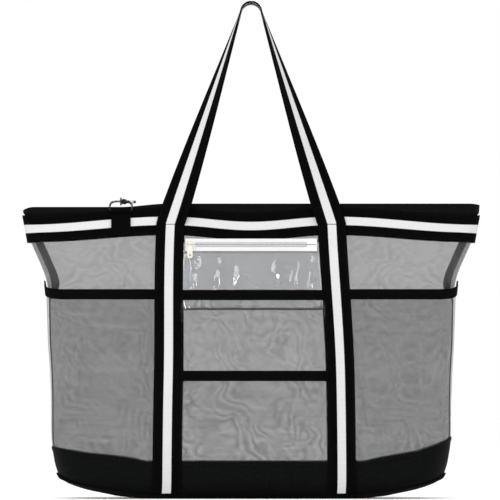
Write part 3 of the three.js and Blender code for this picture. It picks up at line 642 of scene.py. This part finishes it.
def metal_material(name, low, high, metallic, roughness, wear=None):
    """Cast metal or enamel with fine scratches, and a worn tone in patches if it has one."""
    material, tree, principled = new_material(name, Metallic=metallic)
    _, _, vector = cloth_place(tree, False)
    patches = noise_of(tree, vector, 3 * MM, 4.0)
    scratches = noise_of(tree, vector, 0.5 * MM, 2.0)
    shade = mixed(tree, patches, low, high)
    if wear:
        shade = mixed(tree, ranged(tree, patches, 0, 1, 0.62, 0.68), shade, wear)
    tree.links.new(shade, principled.inputs["Base Color"])
    tree.links.new(ranged(tree, scratches, roughness * 0.6, roughness * 1.5), principled.inputs["Roughness"])
    set_bump(tree, principled, scratches, 0.03 * MM)
    return material


def teeth_material(name, tone):
    material, tree, principled = new_material(name, Specular_IOR_Level=0.35)
    _, _, vector = cloth_place(tree, False)
    patches = noise_of(tree, vector, 2 * MM)
    tree.links.new(mixed(tree, patches, grey(tone * 0.8), grey(tone)), principled.inputs["Base Color"])
    tree.links.new(ranged(tree, patches, 0.3, 0.5), principled.inputs["Roughness"])
    return material


WEBBING_CLOTH = webbing_material("striped_webbing_cloth", True)
PLAIN_WEBBING = webbing_material("black_webbing_cloth", False)
BLACK_TAPE = tape_material("black_binding_tape", 0.0022)
SEAM_TAPE = tape_material("faded_seam_tape", 0.085)
WHITE_TAPE = tape_material("white_zip_tape", 0.86)
WHITE_PATCH = tape_material("white_zip_patch", 0.86, from_uv=False)
BLACK_PATCH = tape_material("black_zip_patch", 0.0022, from_uv=False)
COATED = coated_material("coated_base_cloth")
COATED_FLOOR = coated_material("coated_floor_cloth", from_uv=False)
NET = mesh_material("body_net", 0.05, 0.30)
POCKET_NET = mesh_material("pocket_net", 0.10, 0.36)
CENTRE_NET = mesh_material("centre_pocket_net", 0.15, 0.05)
FILM = film_material("clear_film")
CHROME = metal_material("bright_metal", grey(0.55), grey(0.78), 1.0, 0.2)
CREAM = metal_material("cream_enamel", (0.66, 0.63, 0.53, 1), (0.74, 0.72, 0.64, 1), 0.35, 0.3, grey(0.5))
LACQUER = metal_material("black_lacquer", grey(0.004), grey(0.01), 0.4, 0.3, grey(0.06))
BLACK_TEETH = teeth_material("black_teeth", 0.008)
WHITE_TEETH = teeth_material("white_teeth", 0.7)

# ---------------------------------------------------------------- base


def base_top(s):
    """The height of the base cloth's upper edge, which stands higher towards the sides."""
    side = -1 if s < 0 else 1
    return BASE_TOP + BASE_RISE[side] * clamp((abs(s) - BASE_LEVEL) / BASE_CLIMB) ** BASE_BOW[side]


def seam_height(s):
    """The foot's seam is level in the middle and climbs where the corners round up."""
    return FOOT_LOW + FOOT_CLIMB * smooth((abs(s) - FOOT_LEVEL) / (1 - FOOT_LEVEL))


def add_base():
    columns = wide_columns(61, 17)
    rows = 30
    for side, turn in SIDES:
        def place(i, j, flip=1 if side == "front" else -1):
            s = columns[i]
            z = base_top(s * flip) * (j / (rows - 1)) ** 1.5
            crease = BASE_CREASE * wobble(outline(s, z, 0).x * flip, z, BASE_CREASE_SIZE, 1.5)
            fade = smooth(z / (14 * MM)) * smooth((1 - abs(s)) / 0.1)
            return outline(s, z, crease * fade)

        wall = thicken(cloth(f"base_wall_{side}", len(columns), rows, place, turn), BASE_FABRIC)
        finish_piece(wall, "bag", "black_fabric", COATED, f"base_{side}")
        add_base_trim(side, turn, columns)


def add_base_trim(side, turn, columns):
    """The folded seam along the base's foot, and the turned edge at its top."""
    flip = 1 if side == "front" else -1
    foot = [shell_frame(s, seam_height(s), 1.2 * MM) for s in columns]
    piping = strip(f"base_seam_{side}", foot, flat_profile(*FOOT_SEAM), turn)
    finish_piece(outward_faces(piping), "bag", "black_tape", BLACK_TAPE, f"base_piping_{side}")
    edge = [shell_frame(s, base_top(s * flip) - 2.6 * MM, 0.25 * MM) for s in columns]
    fold = strip(f"base_edge_{side}", edge, flat_profile(*BASE_FOLD), turn)
    finish_piece(outward_faces(fold), "bag", "black_fabric", COATED)


# ---------------------------------------------------------------- body


def strap_centre(z):
    return STRAP_SPREAD - STRAP_LEAN * (z / STRAP_TOP) ** 2


def slack(x, z, flip):
    """How far the body mesh hangs inward between its seams."""
    from_strap = abs(abs(x) - strap_centre(z)) / (60 * MM)
    hold = smooth(from_strap) * smooth((z - 70 * MM) / (60 * MM)) * smooth((362 * MM - z) / (50 * MM))
    folds = 0.5 + 0.5 * wobble(x * flip, z * 0.6, 48 * MM, 7.5)
    return hold * (SLACK + SLACK_FOLDS * folds)


def hem_top(s, flip):
    """The rim is low at the clip and at the left, and dips towards the side seams."""
    side = -1 if s * flip < 0 else 1
    swell = HEM_SWELL * smooth((s * flip - HEM_SWELL_START) / HEM_SWELL_RUN)
    return HEM_TOP + swell - HEM_END_DIP[side] * smooth((abs(s) - FLAT) / (1 - FLAT))


def add_body():
    columns = wide_columns(73, 13)
    heights = spread(BASE_TOP - 6 * MM, MESH_TOP, 66)
    for side, turn in SIDES:
        def place(i, j, flip=1 if side == "front" else -1):
            s, z = columns[i], heights[j]
            flat = outline(s, z, 0)
            fade = smooth((1 - abs(s)) / 0.12)
            depth = MESH_DEPTH * (1 if abs(s) < 0.9 else 0.6)
            return outline(s, z, -depth - slack(flat.x, z, flip) * fade)

        panel = cloth(f"body_mesh_{side}", len(columns), len(heights), place, turn)
        finish_piece(panel, "bag", "mesh", NET, f"mesh_{side}")
        shares = spread(0, 1, 17)

        def hem_place(i, j, flip=1 if side == "front" else -1):
            z = lerp(HEM_BOTTOM, hem_top(columns[i], flip), shares[j])
            return outline(columns[i], z, HEM_FLARE * smooth((z - HEM_FLARE_START) / HEM_FLARE_RUN))

        hem = cloth(f"hem_cloth_{side}", len(columns), len(shares), hem_place, turn)
        finish_piece(thicken(hem, HEM_THICKNESS), "bag", "black_fabric", COATED, f"hem_{side}")


def add_side_seams():
    """The mesh of each side seam is turned inward, with its edge bound in tape.

    Above the pockets it stands into the bag. Below them it lies back on the side wall.
    """
    heights = spread(SEAM_BOTTOM, SEAM_TOP, 60)
    for side, sign in (("left", -1), ("right", 1)):
        def lean(z):
            standing = smooth((z - SEAM_LIES) / (SEAM_STANDS - SEAM_LIES))
            return lerp(math.radians(90), 0, standing)

        def inward(z, depth):
            sway = SEAM_SWAY * wobble(0, z, 60 * MM, 3.5 + sign)
            base = section(z)[0] - SEAM_INSIDE
            return Vector((sign * (base - depth * math.cos(lean(z))), sway + depth * math.sin(lean(z)), z))

        def tape_station(z):
            across = Vector((sign * -math.cos(lean(z)), math.sin(lean(z)), 0))
            out = Vector((sign * math.sin(lean(z)), math.cos(lean(z)), 0))
            return inward(z, SEAM_TAPE_REACH), across, out

        edges = [tape_station(z) for z in heights]
        tape = strip(f"side_seam_tape_{side}", edges, flat_profile(*SEAM_TAPE_SIZE))
        finish_piece(outward_faces(tape), "bag", "black_tape", SEAM_TAPE, f"side_binding_{side}")
        depths = spread(0, SEAM_ALLOWANCE, 4)

        def allowance_place(i, j):
            return inward(heights[j], depths[i])

        allowance = cloth(f"side_seam_mesh_{side}", len(depths), len(heights), allowance_place)
        finish_piece(allowance, "bag", "mesh", NET)


# ---------------------------------------------------------------- band, straps and handles


def band_centre(x):
    distance = abs(x)
    strap = STRAP_SPREAD - STRAP_LEAN
    if distance < strap:
        return lerp(BAND_STRAP, BAND_MIDDLE, 0.5 + 0.5 * math.cos(math.pi * distance / strap))
    beyond = clamp((distance - strap) / (section(BAND_END)[0] - strap))
    return lerp(BAND_STRAP, BAND_END, 0.5 - 0.5 * math.cos(math.pi * beyond))


def add_bands():
    for side, turn in SIDES:
        stations = []
        for s in wide_columns(97, 13):
            x = outline(s, BAND_MIDDLE, 0).x
            stations.append(shell_frame(s, band_centre(x), BAND_OUT))
        band = strip(f"top_band_{side}", stations, flat_profile(WEBBING_WIDTH, WEBBING), turn)
        finish_piece(outward_faces(band), "bag", "striped_webbing", WEBBING_CLOTH, f"band_{side}")


def strap_stations(sign):
    """From the foot of a strap up to the handle, on the shell and over the band."""
    stations = []
    for z in spread(STRAP_BOTTOM, STRAP_TOP, 60):
        over_band = smooth((z - BAND_STRAP + WEBBING_WIDTH / 2 + STRAP_STEP_BELOW) / STRAP_STEP_RUN)
        offset = STRAP_GAP + WEBBING / 2 + STRAP_STEP * over_band
        x = sign * strap_centre(z)
        point, _, out = shell_frame(s_at(x, z), z, offset)
        stations.append((point, Vector((1, 0, 0)), out))
    return stations


def handle_leg(foot):
    """Stations from the left foot up one leg to the middle of the bend.

    The leg leans in to a small bend. Along it the webbing turns from facing forward to
    facing outward, so that it lies level over the bend.
    """
    centre = Vector((0, HANDLE_TOP - HANDLE_BEND))
    start = Vector((foot.x, foot.z))
    to_centre = centre - start
    lean = math.atan2(to_centre.x, to_centre.y) - math.asin(HANDLE_BEND / to_centre.length)
    outward = Vector((-math.cos(lean), math.sin(lean)))
    leg_end = centre + outward * HANDLE_BEND
    steps = 56
    path = []
    for k in range(1, steps + 1):
        t = k / steps
        turned = math.pi / 2 * t**0.75
        path.append((start.lerp(leg_end, t), lerp(foot.y, -HANDLE_INNER_Y, t), turned, outward))
    for k in range(1, 13):
        angle = lerp(math.pi / 2 - lean, 0, k / 12)
        direction = Vector((-math.sin(angle), math.cos(angle)))
        path.append((centre + direction * HANDLE_BEND, -HANDLE_INNER_Y, math.pi / 2, direction))
    stations = []
    for place, y, turned, direction in path:
        out = Vector((direction.x, 0, direction.y))
        forward = Vector((0, -1, 0))
        normal = forward * math.cos(turned) + out * math.sin(turned)
        across = out * math.cos(turned) - forward * math.sin(turned)
        stations.append((Vector((place.x, y, place.y)), -across, normal))
    return stations


def mirrored(stations):
    """The same stations on the other leg, in reverse, still facing the same side."""
    flipped = []
    for point, across, out in reversed(stations):
        flipped.append((
            Vector((-point.x, point.y, point.z)),
            Vector((across.x, -across.y, -across.z)),
            Vector((-out.x, out.y, out.z)),
        ))
    return flipped


def add_handles():
    """One length of webbing a side: up a strap, over as the handle and down the other strap."""
    for side, turn in SIDES:
        left, right = strap_stations(-1), strap_stations(1)
        leg = handle_leg(left[-1][0])
        path = left + leg + mirrored(leg)[1:] + right[::-1]
        webbing = strip(f"strap_and_handle_{side}", path, flat_profile(WEBBING_WIDTH, WEBBING), turn)
        outward_faces(webbing)
        webbing.data.materials.append(WEBBING_CLOTH)
        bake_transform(webbing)
        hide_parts(f"handle_{side}", f"strap_{side}_left", f"strap_{side}_right")
        add_tacks(side, turn)


def add_tacks(side, turn):
    """The row of thread that tacks each strap to the band, at the foot of the handle."""
    for name, sign in (("left", -1), ("right", 1)):
        top, across, out = strap_stations(sign)[-1]
        middle = top + out * (WEBBING / 2 + 0.1 * MM) - Vector((0, 0, TACK_DROP))
        points = [middle + across * u for u in spread(-TACK_HALF, TACK_HALF, 30)]
        row = thread(f"tack_{side}_{name}", points, TACK_THREAD, turn)
        finish_piece(row, "bag", "black_webbing", PLAIN_WEBBING)


# ---------------------------------------------------------------- mesh pockets


def side_mouth(s):
    return SIDE_MOUTH + SIDE_RISE * clamp((abs(s) - SIDE_BOW_START) / (1 - SIDE_BOW_START)) ** 2


def side_lift(s, z, share):
    """How far a side pocket stands off the body, from its base seam, share 0, to its mouth."""
    full = lerp(-SEWN_SINK, SIDE_LIFT, share)
    at_seam = lerp(-SEWN_SINK, SIDE_SEAM_LIFT, share)
    at_strap = lerp(-SEWN_SINK, SIDE_STRAP_LIFT, share)
    toward_seam = clamp((abs(s) - FLAT) / (CORNER - FLAT))
    x = outline(s, z, 0).x
    from_strap = (abs(x) - strap_centre(z) - WEBBING_WIDTH / 2) / POCKET_RAMP
    return lerp(at_strap, lerp(full, at_seam, toward_seam), smooth(from_strap))


def add_side_pocket(name, sign):
    def columns(z):
        inner = abs(s_at(strap_centre(z) + WEBBING_WIDTH / 2 - UNDER_STRAP, z))
        flat = spread(inner, FLAT, 26)
        corner = spread(FLAT, CORNER, 13)[1:] + [0.98, 1.0]
        values = [sign * s for s in flat + corner]
        return values if sign > 0 else values[::-1]

    count = len(columns(SIDE_MOUTH))
    rows = 46

    def place(i, j):
        share = j / (rows - 1)
        z = lerp(BASE_TOP, SIDE_MOUTH - BINDING_HEIGHT / 2, share)
        s = columns(z)[i]
        z = lerp(base_top(s) - 2 * MM, side_mouth(s) - BINDING_HEIGHT / 2, share)
        x = outline(s, z, 0).x
        hold = math.sin(math.pi * share) * smooth((1 - abs(s)) / 0.2)
        hold *= smooth((abs(x) - 142 * MM) / (30 * MM))
        billow = (1.6 * wobble(x, z * 0.5, 46 * MM, 11.5) + 0.6 * wobble(x, z, 22 * MM, 4.5)) * MM
        return outline(s, z, side_lift(s, z, share) + billow * hold)

    pocket = cloth(f"{name}_mesh", count, rows, place)
    finish_piece(pocket, "bag", "mesh", POCKET_NET, name)
    mouth = []
    for s in columns(SIDE_MOUTH):
        z = side_mouth(s) - BINDING_HEIGHT / 2
        mouth.append(shell_frame(s, z, side_lift(s, z, 1.0) + BINDING / 2 - 0.4 * MM))
    binding = strip(f"{name}_edge", mouth, flat_profile(BINDING_HEIGHT, BINDING))
    finish_piece(outward_faces(binding), "bag", "black_tape", BLACK_TAPE, f"{name}_binding")


def centre_columns(z, count=CENTRE_STEPS):
    edge = s_at(strap_centre(z) - WEBBING_WIDTH / 2 + UNDER_STRAP, z)
    return spread(-edge, edge, count)


def centre_lift(s, z, edge, full):
    """Rises from the straps' seams, where the lift is edge, to full between them."""
    x = outline(s, z, 0).x
    return lerp(edge, full, smooth((strap_centre(z) - WEBBING_WIDTH / 2 - abs(x)) / POCKET_RAMP))


def add_centre_pocket(name, mouth, edge_at, full_at, seed):
    rows = 40

    def lift(s, z):
        return centre_lift(s, z, edge_at(z), full_at(z))

    def place(i, j):
        share = j / (rows - 1)
        z = lerp(BASE_TOP - 2 * MM, mouth - BINDING_HEIGHT / 2, share)
        s = centre_columns(z)[i]
        x = outline(s, z, 0).x
        hold = math.sin(math.pi * share) * smooth((90 * MM - abs(x)) / (25 * MM))
        billow = (1.3 * wobble(x, z, 50 * MM, seed) + 0.5 * wobble(x, z, 20 * MM, seed + 3)) * MM
        return outline(s, z, lift(s, z) + max(billow, -0.6 * MM) * hold)

    pocket = cloth(f"{name}_mesh", CENTRE_STEPS, rows, place)
    finish_piece(pocket, "bag", "mesh", CENTRE_NET, name)
    z = mouth - BINDING_HEIGHT / 2
    stations = [shell_frame(s, z, lift(s, z) + BINDING / 2) for s in centre_columns(z)]
    binding = strip(f"{name}_edge", stations, flat_profile(BINDING_HEIGHT, BINDING))
    finish_piece(outward_faces(binding), "bag", "black_tape", BLACK_TAPE, f"{name}_binding")


def upper_edge(z):
    """Past the clear pocket's foot the upper pocket's edge lies over that pocket's."""
    return lerp(0.4 * MM, 2.4 * MM, smooth((z - CLEAR_BOTTOM + 24 * MM) / (12 * MM)))


def upper_lift(z):
    behind = lerp(-0.2 * MM, 2.2 * MM, clamp((z - BASE_TOP) / (LOWER_MOUTH - BASE_TOP)))
    return lerp(behind, UPPER_LIFT, clamp((z - LOWER_MOUTH) / (UPPER_MOUTH - LOWER_MOUTH)))


def lower_lift(z):
    return lerp(0.4 * MM, LOWER_LIFT, clamp((z - BASE_TOP) / (LOWER_MOUTH - BASE_TOP)))


def lower_edge(z):
    return lerp(0.2 * MM, 1.8 * MM, clamp((z - BASE_TOP) / (30 * MM)))


# ---------------------------------------------------------------- clear pocket


def clear_lift(z):
    if z > CLEAR_WIDEST:
        return lerp(CLEAR_LIFT, CLEAR_TOP_LIFT, smooth((z - CLEAR_WIDEST) / (CLEAR_TOP - CLEAR_WIDEST)))
    return lerp(CLEAR_BOTTOM_LIFT, CLEAR_LIFT, smooth((z - CLEAR_BOTTOM) / (CLEAR_WIDEST - CLEAR_BOTTOM)))


def film_folds(x, z):
    """Upright folds that lean a little, and slanting dents, as soft film keeps."""
    lean = 0.16 * (z - CLEAR_WIDEST) + 2.5 * MM * wobble(x, z, 30 * MM, 8.5)
    upright = sum(depth * math.exp(-(((x - at - lean) / width) ** 2)) for at, depth, width in FILM_FOLDS)
    slant = wobble(x + 0.5 * z, z * 0.35, 17 * MM, 21.5) + 0.5 * wobble(x - 0.4 * z, z * 0.5, 9 * MM, 5.5)
    return -upright + 1.2 * MM * slant


def add_clear_pocket():
    rows = 44

    def front(i, j):
        share = j / (rows - 1)
        z = lerp(CLEAR_BOTTOM, CLEAR_TOP, share)
        s = centre_columns(z, FILM_STEPS)[i]
        x = outline(s, z, 0).x
        hold = smooth(share / 0.25) * smooth((1 - share) / 0.2) * smooth((88 * MM - abs(x)) / (8 * MM))
        behind_binding = smooth((z - UPPER_MOUTH + 2 * MM) / (10 * MM))
        fold = film_folds(x, z) * hold * lerp(0.3, 1, behind_binding)
        return outline(s, z, centre_lift(s, z, CLEAR_EDGE_LIFT, clear_lift(z)) + fold)

    film = thicken(cloth("clear_film_front", FILM_STEPS, rows, front), FILM_THICKNESS)
    finish_piece(film, "bag", "clear_film", FILM, "clear_pocket_front")

    heights = spread(CLEAR_BOTTOM, BACKING_TOP, 12)

    def back(i, j):
        return outline(centre_columns(heights[j])[i], heights[j], BACKING_LIFT)

    sheet = cloth("clear_film_back", CENTRE_STEPS, len(heights), back)
    backing = thicken(sheet, BACKING_THICKNESS)
    finish_piece(backing, "bag", "clear_film", FILM, "clear_pocket_back")


# ---------------------------------------------------------------- zips


def teeth(name, place, length, pitch, size, lead, turn=FRONT):
    """A row of coil teeth. place(x) gives a tooth's point with its reach and up directions."""
    vertices, faces, uvs = [], [], []
    width, reach, height = size
    count = int(length / pitch)
    for k in range(count):
        x = (k - (count - 1) / 2) * pitch + lead
        point, ahead, up = place(x)
        along = Vector((1, 0, 0))
        start = len(vertices)
        for r, w, h in TOOTH_RINGS:
            for sx, sz in ((-1, -1), (1, -1), (1, 1), (-1, 1)):
                vertices.append(point + ahead * reach * r + along * sx * width * w + up * sz * height * h)
                uvs.append((x, sz * height))
        for ring in range(len(TOOTH_RINGS) - 1):
            for m in range(4):
                n = (m + 1) % 4
                a = start + ring * 4
                faces.append((a + m, a + n, a + 4 + n, a + 4 + m))
        faces.append((start + 3, start + 2, start + 1, start))
        faces.append((start + 12, start + 13, start + 14, start + 15))
    return outward_faces(new_object(name, vertices, faces, uvs, turn))


def add_top_zip():
    slope = (TOP_MIDDLE - TOP_HINGE).normalized()
    up = Vector((1, 0, 0)).cross(slope)
    for side, turn in SIDES:
        rows = (0, 0.25, 0.5, 0.79)
        columns = spread(-TOP_LENGTH / 2, TOP_LENGTH / 2, 117)

        def place(i, j):
            x = columns[i]
            reach = rows[j] if abs(x) < TOP_TOOTHED / 2 else min(rows[j], 0.56)
            ripple = 0.35 * MM * wobble(x, reach * 9 * MM, 28 * MM, 2.5) * (1 - reach)
            return Vector((x, 0, 0)) + TOP_HINGE.lerp(TOP_MIDDLE, reach) + up * (0.4 * MM + ripple)

        tape = thicken(cloth(f"top_zip_tape_{side}", len(columns), len(rows), place, turn), TOP_TAPE)
        finish_piece(tape, f"{side}_flap", "black_tape", BLACK_TAPE, f"zip_tape_{side}")
        lead = 0.4 * MM if side == "front" else -0.4 * MM

        def at(x):
            return Vector((x, 0, 0)) + TOP_MIDDLE - slope * 1.5 * MM, slope, up

        row = teeth(f"top_zip_teeth_{side}", at, TOP_TOOTHED, *TOP_TEETH, lead, turn)
        finish_piece(row, f"{side}_flap", "black_coil", BLACK_TEETH, f"zip_coil_{side}")
    for name in ("zip_end_left", "zip_end_right"):
        dress(name, BLACK_PATCH, 0.3 * MM)


def add_pocket_zip():
    """White tape and teeth between the straps, at the clear pocket's top."""
    low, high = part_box("pocket_zip_tape_lower"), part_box("pocket_zip_tape_upper")
    foot = Vector((0, low[0].y, low[0].z))
    head = Vector((0, high[1].y, high[1].z))
    rise = (head - foot).normalized()
    out = rise.cross(Vector((1, 0, 0)))
    if out.y > 0:
        out.negate()
    for name, sign, body in (("upper", 1, "bag"), ("lower", -1, "pocket_flap")):
        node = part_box(f"pocket_zip_tape_{name}")
        middle = (node[0] + node[1]) / 2
        length = node[1].x - node[0].x
        width = math.hypot(node[1].y - node[0].y, node[1].z - node[0].z) - 0.4 * MM
        ends = (node[0].x - ZIP_END_GAP, node[1].x + ZIP_END_GAP)
        stations = [(Vector((x, middle.y, middle.z)), rise, out) for x in spread(*ends, 30)]
        tape = strip(f"pocket_tape_{name}", stations, flat_profile(width, POCKET_TAPE))
        finish_piece(outward_faces(tape), body, "white_tape", WHITE_TAPE, f"pocket_zip_tape_{name}")
        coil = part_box(f"pocket_zip_coil_{name}")
        seat = (coil[0] + coil[1]) / 2

        def at(x, seat=seat, sign=sign):
            return Vector((x, seat.y, seat.z)) - rise * sign * 0.2 * MM, rise * -sign, out

        lead = 0.33 * MM * sign
        row = teeth(f"pocket_teeth_{name}", at, length, *POCKET_TEETH, lead)
        finish_piece(row, body, "white_coil", WHITE_TEETH, f"pocket_zip_coil_{name}")
    for name in ("pocket_zip_end_left", "pocket_zip_end_right"):
        dress(name, WHITE_PATCH, 0.1 * MM)


def dress(name, material, bevel):
    """Gives a CAD node its material and softly rounded edges."""
    node = nodes[name]
    node.data.materials.clear()
    node.data.materials.append(material)
    modifier = node.modifiers.new("soft_edges", "BEVEL")
    modifier.width = bevel
    modifier.segments = 2
    modifier.limit_method = "ANGLE"
    modifier.angle_limit = BEVEL_ANGLE


def dress_metal():
    for name in ("zip_slider", "zip_pull", "hook_lever"):
        dress(name, CHROME, 0.15 * MM)
    for name in ("pocket_zip_slider", "pocket_zip_pull"):
        dress(name, CREAM, 0.15 * MM)
    dress("snap_hook", LACQUER, 0.35 * MM)
    dress("swivel_eye", LACQUER, 0.1 * MM)
    dress("d_ring", LACQUER, 0.1 * MM)
    thicker = nodes["d_ring"].modifiers.new("cast_wire", "DISPLACE")
    thicker.mid_level = 0
    thicker.strength = 0.45 * MM
    dress("clip_tab", PLAIN_WEBBING, 0.3 * MM)
    dress("base_floor", COATED_FLOOR, 0.3 * MM)


# ---------------------------------------------------------------- stage


def add_stage():
    bpy.ops.mesh.primitive_plane_add(size=FLOOR_SIZE, location=(0, 0, 0))
    floor = bpy.context.active_object
    floor.name = "floor"
    material, tree, principled = new_material("pale_floor", Roughness=0.9, Specular_IOR_Level=0.1)
    _, _, vector = cloth_place(tree, False)
    tone = mixed(tree, noise_of(tree, vector, 0.8), grey(0.93), grey(0.96))
    tree.links.new(tone, principled.inputs["Base Color"])
    principled.inputs["Emission Color"].default_value = (1, 1, 1, 1)
    principled.inputs["Emission Strength"].default_value = 0.06
    floor.data.materials.append(material)


def add_light(name, location, size, power):
    data = bpy.data.lights.new(name, "AREA")
    data.shape = "RECTANGLE"
    data.size, data.size_y = size
    data.energy = power
    light = bpy.data.objects.new(name, data)
    light.location = location
    light.rotation_euler = (LIGHT_TARGET - Vector(location)).to_track_quat("-Z", "Y").to_euler()
    bpy.context.scene.collection.objects.link(light)


def add_lights():
    world = bpy.data.worlds.new("soft_white")
    bpy.context.scene.world = world
    world.use_nodes = True
    background = next(n for n in world.node_tree.nodes if n.type == "BACKGROUND")
    background.inputs["Color"].default_value = (1, 1, 1, 1)
    background.inputs["Strength"].default_value = 1.0
    for light in LIGHTS:
        add_light(*light)
    bpy.context.scene.view_settings.view_transform = "Standard"


def add_camera():
    data = bpy.data.cameras.new("camera")
    data.lens = CAMERA_LENS
    data.sensor_width = CAMERA_SENSOR
    camera = bpy.data.objects.new("camera", data)
    back = Vector((0, -math.cos(CAMERA_ELEVATION), math.sin(CAMERA_ELEVATION)))
    camera.location = CAMERA_TARGET + back * CAMERA_DISTANCE
    camera.rotation_euler = (-back).to_track_quat("-Z", "Y").to_euler()
    bpy.context.scene.collection.objects.link(camera)
    bpy.context.scene.camera = camera


# ---------------------------------------------------------------- assembly

add_camera()
add_base()
add_body()
add_side_seams()
add_bands()
add_handles()
add_side_pocket("pocket_left", -1)
add_side_pocket("pocket_right", 1)
add_centre_pocket("pocket_upper", UPPER_MOUTH, upper_edge, upper_lift, 31.5)
add_centre_pocket("pocket_lower", LOWER_MOUTH, lower_edge, lower_lift, 44.5)
add_clear_pocket()
add_top_zip()
add_pocket_zip()
dress_metal()
add_stage()
add_lights()
